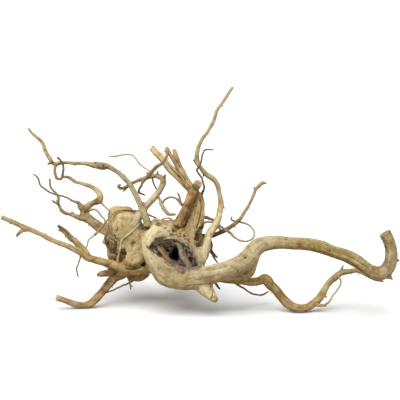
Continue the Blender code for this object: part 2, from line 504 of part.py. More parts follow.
def loft(name, outlines, collection):
    """A closed body through outlines on the drawing, each at its own depth."""
    bm = bmesh.new()
    rings = [[bm.verts.new(placed(*point, depth)[0]) for point in outline] for depth, outline in outlines]
    for near, far in zip(rings, rings[1:]):
        for i in range(len(near)):
            j = (i + 1) % len(near)
            bm.faces.new((near[i], near[j], far[j], far[i]))
    bm.faces.new(rings[0])
    bm.faces.new(reversed(rings[-1]))
    bmesh.ops.recalc_face_normals(bm, faces=bm.faces)
    return mesh_object(name, bm, collection)


def applied(obj):
    """The object's mesh with its modifiers applied."""
    graph = bpy.context.evaluated_depsgraph_get()
    mesh = bpy.data.meshes.new_from_object(obj.evaluated_get(graph))
    obj.modifiers.clear()
    obj.data = mesh
    return obj


def joined(name, pieces, collection):
    """Several meshes as one object, still overlapping."""
    bm = bmesh.new()
    for piece in pieces:
        bm.from_mesh(piece.data)
        bpy.data.objects.remove(piece)
    return mesh_object(name, bm, collection)


def grown_together(name, pieces, voxel, smoothing, triangles, collection):
    """The pieces as one skin that flows from one to the next."""
    obj = joined(name, pieces, collection)
    skin = obj.modifiers.new("skin", "REMESH")
    skin.mode = "VOXEL"
    skin.voxel_size = voxel * MM
    skin.use_smooth_shade = True
    soft = obj.modifiers.new("soft", "SMOOTH")
    soft.factor = SOFTNESS
    soft.iterations = smoothing
    applied(obj)
    obj.data.calc_loop_triangles()
    fewer = obj.modifiers.new("fewer", "DECIMATE")
    fewer.ratio = triangles / len(obj.data.loop_triangles)
    fewer.use_collapse_triangulate = True
    return applied(obj)


def boolean(obj, operation, other=None, collection=None):
    step = obj.modifiers.new(operation.lower(), "BOOLEAN")
    step.operation = operation
    step.solver = "EXACT"
    if collection is None:
        step.object = other
    else:
        step.operand_type = "COLLECTION"
        step.collection = collection
    return applied(obj)


def make_burl(collection):
    """The burl with its heavy roots, before the hollow is cut."""
    pieces = [tube(name, route, BURL_STEP, BURL_SIDES, collection) for name, route in BURL_ROOTS.items()]
    pieces += [lump(name, *sizes, collection) for name, sizes in BURL_LUMPS.items()]
    return grown_together(NAME, pieces, BURL_VOXEL, BURL_SMOOTHING, BURL_TRIANGLES, collection)


def make_hollow(collection):
    """What the rotted heart and the smaller pits left open, as a cutter."""
    pieces = [tube(name, route, BURL_STEP, BURL_SIDES, collection) for name, route in HOLLOW_ROOTS.items()]
    pieces.append(loft("heart", HOLLOW, collection))
    return grown_together("hollow", pieces, HOLLOW_VOXEL, HOLLOW_SMOOTHING, HOLLOW_TRIANGLES, collection)


def make_floor(collection):
    """The slab under the floor, as a cutter."""
    bm = bmesh.new()
    bmesh.ops.create_cube(bm, size=1.0)
    size = FLOOR_SLAB * MM
    bm.transform(Matrix.Translation((0, 0, -size.z / 2)) @ Matrix.Diagonal((*size, 1)))
    return mesh_object("floor_slab", bm, collection)


def wood():
    material = bpy.data.materials.new("peeled_wood")
    material.use_nodes = True
    surface = material.node_tree.nodes["Principled BSDF"]
    surface.inputs["Base Color"].default_value = WOOD_COLOUR
    surface.inputs["Roughness"].default_value = WOOD_ROUGHNESS
    surface.inputs["Metallic"].default_value = 0.0
    return material


def new_collection(name):
    collection = bpy.data.collections.new(name)
    bpy.context.scene.collection.children.link(collection)
    return collection


def main():
    for obj in list(bpy.data.objects):
        bpy.data.objects.remove(obj)
    root_parts = new_collection("spiderwood")
    cutters = new_collection("cutters")
    limbs = new_collection("limbs")
    root = make_burl(root_parts)
    hollow = make_hollow(cutters)
    boolean(root, "DIFFERENCE", hollow)
    for name, route in ROOTS.items():
        thin = max(radius for *_, radius in route) <= THIN_ROOT
        tube(name, route, ROOT_STEP, THIN_ROOT_SIDES if thin else ROOT_SIDES, limbs)
    for name, route in ROOTLETS.items():
        tube(name, route, ROOTLET_STEP, ROOTLET_SIDES, limbs)
    boolean(root, "UNION", collection=limbs)
    for limb in list(limbs.objects):
        bpy.data.objects.remove(limb)
    bpy.data.collections.remove(limbs)
    floor = make_floor(cutters)
    boolean(root, "DIFFERENCE", floor)
    for cutter in (hollow, floor):
        cutter.hide_render = True
        cutter.display_type = "WIRE"
    root.data.materials.clear()
    root.data.materials.append(wood())
    root.data.shade_smooth()
    root.data.set_sharp_from_angle(angle=CREASE)


main()
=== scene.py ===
"""Spiderwood root, dressed: the same grown root as the CAD solid, with its wood grown fine.

The roots' routes are laid out on the front drawing as in the part's source. They are skinned together
as one wood, which then gets its flutes, fibres, cracks, knots and worm holes, and the wiry rootlets
are grown onto it.
"""

import math

import bmesh
import bpy
import numpy as np
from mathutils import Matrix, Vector
from mathutils.bvhtree import BVHTree


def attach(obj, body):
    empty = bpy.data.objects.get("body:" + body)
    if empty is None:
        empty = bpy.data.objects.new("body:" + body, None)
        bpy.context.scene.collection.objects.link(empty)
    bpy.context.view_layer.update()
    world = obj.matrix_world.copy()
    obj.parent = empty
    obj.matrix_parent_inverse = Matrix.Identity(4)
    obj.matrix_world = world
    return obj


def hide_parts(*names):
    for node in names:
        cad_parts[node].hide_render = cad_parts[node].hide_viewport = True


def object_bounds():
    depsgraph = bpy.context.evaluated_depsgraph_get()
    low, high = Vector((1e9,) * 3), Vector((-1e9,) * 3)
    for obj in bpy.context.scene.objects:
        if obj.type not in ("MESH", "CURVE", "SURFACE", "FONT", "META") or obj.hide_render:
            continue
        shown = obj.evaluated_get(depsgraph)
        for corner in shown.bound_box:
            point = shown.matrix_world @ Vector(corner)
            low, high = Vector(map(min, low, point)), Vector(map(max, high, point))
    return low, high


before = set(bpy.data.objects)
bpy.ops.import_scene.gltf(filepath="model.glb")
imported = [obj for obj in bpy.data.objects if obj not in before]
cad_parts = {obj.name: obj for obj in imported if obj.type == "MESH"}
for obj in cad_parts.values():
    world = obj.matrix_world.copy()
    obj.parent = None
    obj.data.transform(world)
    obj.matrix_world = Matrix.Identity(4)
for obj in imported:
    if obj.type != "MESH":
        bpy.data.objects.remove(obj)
cad_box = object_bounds()

NODE = "spiderwood_root"
MM = 0.001

# The front drawing, as the photograph's camera sees it: millimetres across from the left, down from the
# top and behind the middle of the burl.
EYE_DISTANCE = 1500.0
EYE_RISE = math.radians(12)
MIDDLE_ACROSS = 200.0
MIDDLE_DOWN = 200.0
MIDDLE_HEIGHT = 110.4
ORIGIN_ACROSS = 201.21
ORIGIN_DEPTH = 37.73
DRAWING_WIDTH = 400.0


# Heavy roots that grow together with the burl. The first wraps round the hollow and runs out to the right.
BURL_ROOTS = {
    "rim_and_limb": [
        (172, 234.6, -9, 2.4), (164, 233.4, -12, 4.8), (155.6, 234.4, -15, 8.4), (151, 243, -17, 8.4),
        (151.2, 251, -18.6, 8.4), (155.6, 262, -21, 9.4),
        (167, 274, -24, 12.6), (184, 278.5, -26, 12), (200, 277.5, -28, 11.4), (214, 274.2, -30, 9.4),
        (228, 269.6, -29, 8.9), (240, 264.4, -26, 9.2), (249.8, 256.6, -22, 9.4), (256.6, 247.6, -18, 8.6),
        (265, 243.7, -15, 7.3), (278, 242, -14, 6.7), (291, 243, -14, 6.2), (306, 244, -16, 6.3),
        (320, 246.5, -20, 6.8), (332, 251, -26, 6.2), (345, 254.8, -32, 6.6), (356, 260, -36, 7),
        (366, 267.5, -38, 6.6), (375, 272.6, -38, 7), (383, 272.6, -36, 7.6), (389, 266.5, -33, 7),
        (391.5, 258, -30, 6.4), (391.2, 249, -28, 6), (388.5, 240, -28, 6), (383.8, 231, -28, 6.4),
    ],
    "lip_edge": [(151.6, 226.4, -14, 3.6), (157, 229.8, -13.4, 4), (164, 232, -11, 3.4), (171, 234, -8, 2.2)],
    "lobe_under_limb": [
        (251, 258, -22, 8.4), (250, 266, -22, 7.2), (248.2, 274.4, -20, 4.9), (240, 272.4, -19, 5.6),
        (230, 274, -21, 6),
    ],
    "front_nub": [
        (199, 279, -27, 10), (206, 289, -31, 8), (211.4, 295.6, -33, 5.4), (217.2, 301.4, -35, 3.2),
    ],
    "trunk": [
        (184, 250, 4, 15), (190, 234, 4, 12), (195, 219, 8, 9), (198.6, 206, 12, 6.6), (198.6, 195, 14, 5),
    ],
    "trunk_ridge": [
        (190, 245, -6, 8.4), (192.4, 235, -4, 9.2), (194.6, 225, 0, 9.4), (196.4, 215, 3, 8.4),
        (197.8, 206, 6, 7), (198.4, 198, 9, 5), (198.4, 192, 11, 3.6),
    ],
    "hollow_wall_right": [(188, 243, -12, 5), (193, 252, -16, 5.4), (197, 261, -19, 6), (198, 270, -20, 8)],
    "arch_foot": [(200, 262, -16, 6), (204.6, 252, -13, 4.4), (206.6, 243, -8, 3.8)],
    "top_lump_left": [(152, 222, 4, 4.6), (159, 225, 2, 6)],
    "top_lump_right": [(166, 226, 2, 7), (177, 228, -2, 7)],
    "left_foot_roots": [(150, 266, 6, 8), (136, 269, 6, 6.6), (124, 270.5, 6, 7), (113, 279, 4, 4.8)],
    "left_floor_root": [(126, 269, 4, 6), (114, 265.5, 0, 5.2), (102, 262, -5, 3.8)],
    "bottom_flap": [(127, 276, 12, 4.4), (139.6, 277, 13, 5.2), (148.6, 272.4, 14, 4.4)],
    "hook_base": [(141, 213.6, 8, 4.6), (134.6, 221, 4, 5), (127, 229, 2, 5.4), (116, 236, 2, 5)],
    "back_foot_root": [(178, 248, 26, 12), (180, 254, 48, 7.4), (183, 262, 66, 5.8)],
    "back_left_root": [(134, 246, 34, 9), (130, 249, 54, 6), (127, 251, 70, 4.6)],
}

# Knobbly masses of the burl: middle across, down and depth, half the size across, in height and in depth,
# and how square they are, where 1 is a ball and less is blockier.
BURL_LUMPS = {
    "core": (178, 247, 8, 27, 24, 24, 0.9),
    "bowl": (174, 261, -15, 25, 25, 21, 1),
    "block_crest": (120.4, 213.4, 20, 9.2, 5.8, 11, 0.55),
    "block_upper": (121, 222, 18, 11.4, 10.4, 15, 0.65),
    "block_shoulder": (133, 225, 15, 9, 9.6, 15, 0.8),
    "block_middle": (126, 236, 19, 15, 13, 17, 0.75),
    "block_left": (112.6, 246, 14, 6, 15, 12, 0.7),
    "block_low": (134.6, 252.6, 9, 13, 15, 15, 0.85),
    "block_joint": (148, 243, 14, 12, 19, 19, 0.9),
    "block_face": (124.5, 227, 14, 14.4, 16, 12.6, 0.6),
    "block_flank": (131, 241, 10, 15, 19, 13.4, 0.75),
    "brow": (164.6, 230, -1.4, 15, 9.6, 11.6, 0.85),
    "apron": (178, 235.6, -3.4, 11, 9.6, 9.6, 0.9),
    "foot_web": (197, 256.4, -12, 8, 9.4, 8, 0.8),
    "left_bump": (105, 240, 12, 4, 4.6, 6, 1),
    "block_base": (121, 256, 18, 11, 11, 12, 0.9),
    "back_knob": (158, 246, 32, 15, 15, 12, 0.9),
    "back_top_knob": (170, 229, 24, 12, 9, 11, 0.9),
    "block_back_knob": (121, 236, 34, 9, 11, 8, 0.9),
}

# The hollow that the rotted heart left, cut into the burl from the front: its outline on the drawing at
# several depths, all with their points in the same order from the left corner over the top.
HOLLOW = [
    (-66, [
        (147, 248), (155, 238), (162, 236), (172, 236), (179, 239.4), (186, 244), (192, 253), (200, 267),
        (186, 268), (173, 266), (163, 259), (155, 254),
    ]),
    (-26, [
        (147.4, 248), (155.2, 238.2), (162, 236.2), (172, 236.2), (179, 239.6), (186, 244.4),
        (191.8, 253.4), (199.4, 266.8), (186, 267.8), (173, 265.8), (163, 258.8), (155, 253.8),
    ]),
    (-20, [
        (148.6, 247.8), (156, 239), (162.6, 237), (171.6, 237.2), (178.4, 240.4), (185, 245),
        (190.6, 253.6), (197.6, 266.2), (185, 267.2), (172.8, 265.2), (163.6, 258.4), (155.6, 253.2),
    ]),
    (-15, [
        (156, 247.6), (160.6, 242), (165, 240.6), (171, 241), (177, 243), (182.4, 247.4), (187.4, 255),
        (192.4, 264.4), (182, 265.4), (172.4, 263.4), (165, 257), (159.6, 251.4),
    ]),
    (-11, [
        (163, 250), (166, 246), (168.6, 245), (172, 245), (175.6, 245.4), (179, 248.6), (182.4, 255.4),
        (185.6, 262.6), (179.6, 263.4), (172.8, 261.6), (167.4, 256.6), (164.6, 252.8),
    ]),
    (-7, [
        (167.4, 254.6), (169, 252), (170.8, 250), (173, 247.8), (175.2, 246.6), (177.4, 247.8), (179, 252),
        (180.4, 258.6), (178.6, 261.4), (174.4, 260.8), (171, 259), (168.6, 256.8),
    ]),
    (-2, [
        (169.4, 257), (171, 254.8), (172.6, 252.2), (174, 249.6), (175.4, 247.8), (176.8, 248.2),
        (177.8, 251.4), (178.4, 256.4), (178.2, 260.2), (175.2, 260), (172.2, 259.2), (170.4, 258.2),
    ]),
    (13, [
        (171, 257), (172, 255), (173, 253), (174.2, 251), (175.4, 250), (176.4, 250), (177, 252),
        (177.4, 256), (177.4, 259), (175.2, 259), (173, 258.6), (171.6, 258),
    ]),
]
HOLLOW_ROOTS = {
    "left_pit": [(165, 247, -17, 1.5), (166.6, 249.4, -11, 1.9), (167.4, 251, -4, 1.5)],
    "groove": [(200, 227, -4, 3.4), (198.6, 235, -9, 4.6), (198.2, 241, -12, 4.8)],
    "block_pit": [(122.6, 249.6, -4, 3.2), (123.2, 253.6, -3, 4.2), (121.6, 258, -3, 4)],
    "block_undercut": [(130, 268.6, -8, 1.4), (138, 267.4, -6, 2), (143.6, 264, -6, 2.4)],
}

# Roots with a round section that leave the burl or one another.
ROOTS = {
    "sagging_root": [
        (196, 274, -22, 6), (208, 277, -15, 4.8), (222, 279.4, -10, 3.6), (238, 280.4, -9, 3.8),
        (250, 281.6, -10, 4.2), (258, 281, -10, 4.5),
        (265, 279.2, -10, 5.2), (271, 285, -11, 4.8), (279, 294, -13, 4.5), (286.5, 302.5, -17, 4.7),
        (294, 307.3, -20, 4.6), (302, 308.6, -21, 4.3), (309.5, 306.2, -19.6, 4), (316.5, 301, -16, 3.8),
        (322.5, 293, -11, 3.5), (328, 284, -7, 3.4), (334.5, 277.6, -4, 3.2), (341, 273.2, -2, 3.3),
        (348, 271.6, -2, 2.7), (357, 270.6, -5, 2.5), (366, 274.4, -12, 2.2), (375, 279, -18, 1.8),
        (383.5, 281.7, -22, 1.1),
    ],
    "arch_root": [
        (203, 258, -11, 5), (206, 249, -9, 4.4), (207.5, 240, -6, 3.8), (210.5, 232, -2, 3.9),
        (215.5, 225.5, 2, 3.8),
        (218.6, 218, 4, 3.2), (219.8, 211, 6, 3), (221, 205, 7, 3.1), (220.4, 199, 8, 2.7),
        (218.8, 191.5, 10, 2.4),
        (217.8, 185.5, 11, 2.6), (214.6, 180, 12, 2.9), (209, 176.2, 13, 2.7), (204.4, 172.4, 14, 2.4),
        (201, 167.6, 15, 2.3), (197.8, 163, 16, 2.6), (196.6, 157, 18, 2.3), (197.6, 150, 20, 2.1),
        (199.6, 144, 22, 2),
        (202.2, 139, 24, 2.1), (206.2, 134, 26, 1.8), (210.2, 127.4, 29, 1.8), (213.6, 121, 32, 1.8),
        (215.6, 114.4, 35, 1.7), (217.6, 109.4, 38, 1.7), (222.2, 103, 41, 1.6), (226.2, 97.2, 44, 1.6),
        (232.8, 87, 50, 1.5),
    ],
    "back_root_of_right": [
        (196, 238, 16, 5), (206, 237, 22, 3.4), (214, 235, 25, 2.6), (222, 231.6, 26, 2.4),
        (229.5, 227.4, 27, 2.2),
        (236.4, 222.8, 29, 2.1), (240.4, 218.6, 30, 1.8), (244.4, 212, 33, 1.7), (248.4, 205.6, 35, 1.6),
        (251.8, 199, 37, 1.6), (254.4, 192.8, 39, 1.7), (256, 189, 40, 1.7), (259.4, 185.2, 42, 2.1),
        (262.4, 182.8, 43, 1.9), (267, 183.2, 44, 0.8),
    ],
    "back_root_fork": [
        (208, 238, 22, 2.8), (210.6, 244, 24, 2.2), (210.4, 249.5, 25, 2.1), (213.2, 254, 27, 1.9),
        (217.4, 257.6, 30, 1.2),
    ],
    "back_root_fork_tip": [(210, 249, 25, 1.3), (213.6, 257, 24, 1), (218.2, 263.8, 22, 0.7)],
    "long_upper_root": [
        (148, 226, 2, 4.4), (146.6, 220, 3, 3.7), (144, 213, 6, 3.4), (140.8, 205.6, 10, 3.3),
        (137, 198, 14, 3.1),
        (133, 190, 19, 2.8), (129, 183.2, 24, 2.4), (122, 176.2, 30, 2.3), (115.2, 170.8, 36, 2.3),
        (109.4, 167, 40, 2.6),
        (103.4, 166.2, 43, 3.8), (96.4, 165.4, 46, 3.4), (88.4, 164, 50, 2.4), (80, 163.2, 54, 1.9),
        (70, 162.8, 57, 1.7),
        (62, 163, 60, 1.8), (56, 164.2, 62, 2.3), (52, 162.4, 64, 2), (50, 158.4, 66, 2.1),
        (47, 153.6, 69, 1.9),
        (44.6, 149.4, 72, 2.1), (43.4, 145, 75, 1.8), (41.2, 141, 78, 1.8), (37, 137.4, 81, 1.7),
        (33, 134.2, 85, 1.4),
        (30, 130.8, 88, 1.2), (28.4, 128, 90, 1),
    ],
    "hooked_upper_root": [
        (108, 234, 18, 5), (116, 233.4, 12, 5.8), (124, 229.6, 8, 6), (132.6, 221.8, 10, 4.8),
        (139.6, 213.8, 13, 4.2),
        (145.6, 206.8, 17, 3.5), (151.6, 200.2, 21, 3.2), (157.4, 193.4, 25, 3.1), (161.6, 186.8, 29, 3.1),
        (163.2, 181, 32, 3.2), (160.4, 177.4, 34, 2.8), (154, 176, 36, 2.3), (148, 177.4, 37, 2.1),
        (142, 179, 38, 2),
        (135, 181.6, 38, 1.9), (129, 185, 37, 1.9), (124.8, 187.6, 36, 1.7), (121, 188.4, 34, 1.6),
        (118.6, 187, 32, 1.5),
        (119, 184.9, 31, 1.3), (121.4, 185.4, 30, 1),
    ],
    "forked_left_root": [
        (122, 238, 20, 8), (112, 233, 22, 6.2), (101, 228, 27, 5.1), (93.4, 222.4, 31, 4.8),
        (88, 217.6, 34, 4.6),
        (84.6, 213, 36, 4.4), (85.6, 208.6, 37, 3.8), (89.6, 205.4, 38, 3.1), (94, 202.8, 40, 2.9),
        (99, 200.6, 43, 3.6),
        (100.6, 196, 46, 3.3), (98, 191.2, 49, 2.9), (93, 187.6, 52, 2.4), (87, 184.8, 55, 2.1),
        (80, 183, 58, 1.7),
        (75, 181.6, 60, 1.7), (71.2, 178.6, 62, 1.7), (67.6, 176.9, 63, 1.6), (63, 176.8, 64, 1.3),
    ],
    "forked_left_low": [
        (88, 219, 34, 4.4), (83, 217.6, 34, 3.6), (78.6, 217.4, 33, 2.8), (74, 215.8, 32, 2.2),
        (69, 214, 31, 1.8),
        (65, 213, 30, 1.9), (61.6, 210.4, 28, 1.9), (59.6, 206.6, 27, 1.7), (58.2, 203, 26, 1.6),
        (58.8, 199.4, 25, 1.4),
        (58, 195.8, 24, 1.5), (55, 192.4, 22, 1.2), (51.6, 189, 21, 1.2), (50, 185.4, 20, 1.1),
        (50, 181.4, 19, 1.1), (49.8, 178.4, 18, 0.9),
    ],
    "long_lower_root": [
        (132, 270, 6, 5.4), (120, 267, 3, 5.2), (110, 263.8, -2, 4.1), (100, 261.4, -6, 3.7),
        (92, 259.2, -9, 3.8),
        (85, 255.4, -12, 4), (78, 251, -15, 3.6), (71, 247.4, -17, 3.1), (63, 244.4, -20, 2.7),
        (55, 241.4, -23, 2.6),
        (47, 237.6, -25, 2.6), (40, 233.8, -27, 2.5), (32, 230.4, -29, 2.6), (25, 228, -31, 2.9),
        (18, 224.2, -33, 2.5),
        (10, 220.6, -36, 2.4), (1.6, 217.2, -39, 2.4),
    ],
    "left_hook_root": [
        (126, 271, 8, 6), (119, 274.6, 6, 5.6), (113, 279, 4, 4.9), (108, 285, 2, 4.4), (103, 291.2, 0, 4.1),
        (97, 298, -2, 4.1), (91, 303.2, -4, 3.8), (84, 305.4, -5.4, 3.5), (77, 304.4, -7, 3.3),
        (70, 302, -8, 3.1),
        (63, 299.6, -10, 3), (56.6, 297.4, -12, 2.9),
    ],
    "brown_heartwood_root": [
        (178, 225, -4, 5.4), (181.4, 218.4, -5, 5.2), (185, 210.6, -5, 4.9), (187.4, 205.4, -4, 4.3),
        (189.8, 198, -2, 4.6), (192, 191.6, 0, 4.4), (193.6, 187.4, 1, 3.4),
    ],
    "tongue": [
        (156.4, 244.4, -15, 1.4), (159.8, 250, -18, 2), (164.2, 256, -19.6, 2), (169, 261.8, -20.6, 2),
        (172.4, 266, -21, 1.8),
    ],
    "tongue_strand": [
        (159.6, 245.4, -14, 1.2), (163.2, 251, -16.4, 1.5), (166.8, 256.4, -18, 1.4),
        (170.6, 261.6, -19.4, 1.4),
    ],
    "hollow_ridge": [
        (177.6, 241.6, -15, 2.6), (180.6, 247, -14, 3.4), (183.4, 255, -15, 3.8), (186.4, 261.6, -17, 4),
        (190, 267, -19, 3.6),
    ],
    "cut_stub": [(194.4, 190, 6, 4.2), (196, 186.8, 3, 4.3), (198.6, 183, -1, 4.1)],
    "split_left": [
        (198, 197, 14, 4.4), (191.6, 189, 14, 4.8), (185, 183.2, 15, 4.5), (177.6, 176.2, 18, 4.4),
        (170.6, 168.8, 21, 4.2),
        (164, 161, 24, 3.8), (157, 153.6, 27, 3.5), (151.4, 147.6, 30, 3),
    ],
    "split_middle": [
        (187, 183, 13, 3.6), (179, 169, 13, 2.7), (172.6, 158.6, 12, 2), (168.4, 151.6, 12, 2.1),
        (166.2, 147, 12, 1.8),
    ],
    "split_right": [
        (195, 195, 12, 4.4), (188.4, 184.4, 10, 4.3), (182.4, 174, 8, 3.6), (178.6, 165, 7, 3.1),
        (175.8, 156.8, 5, 2.8), (173.8, 149.4, 4, 2),
    ],
    "brown_stub": [
        (114, 270.6, 2, 2.8), (107.4, 272.8, -4, 3.6), (101.8, 274, -9, 3.2), (97.4, 275.2, -12, 1.6),
    ],
    "split_spur": [
        (88, 255, -12, 3.2), (81, 247.8, -10, 3.8), (75.6, 241.6, -9, 3.2), (70.6, 236, -8, 2.1),
        (66.6, 231.6, -8, 1.8), (62, 228.4, -8, 1.7), (57.6, 225.6, -8, 1.5),
    ],
    "split_spur_low": [
        (76, 242.6, -9, 2.2), (71, 240.4, -10, 1.5), (66.6, 236.2, -11, 1.3), (63, 232, -11, 1.2),
        (58.6, 229.4, -11, 1.3),
    ],
    "back_foot": [
        (181, 256, 50, 6.8), (183.4, 263, 68, 5.4), (186, 270.4, 82, 4.6), (189, 275.6, 95, 4.2),
        (193, 277.5, 103, 3.9), (197.6, 273.6, 111, 3.2), (202, 267.6, 118, 2.6),
    ],
    "back_left": [
        (130.4, 249, 54, 5.6), (127.4, 251, 70, 4.4), (124, 250, 84, 3.6), (119, 244, 96, 3),
        (115, 236, 104, 2.6),
    ],
    "back_upper": [(186, 236, 24, 7), (183, 234, 42, 4.6), (180, 238, 57, 3.7), (178, 246, 70, 3)],
}

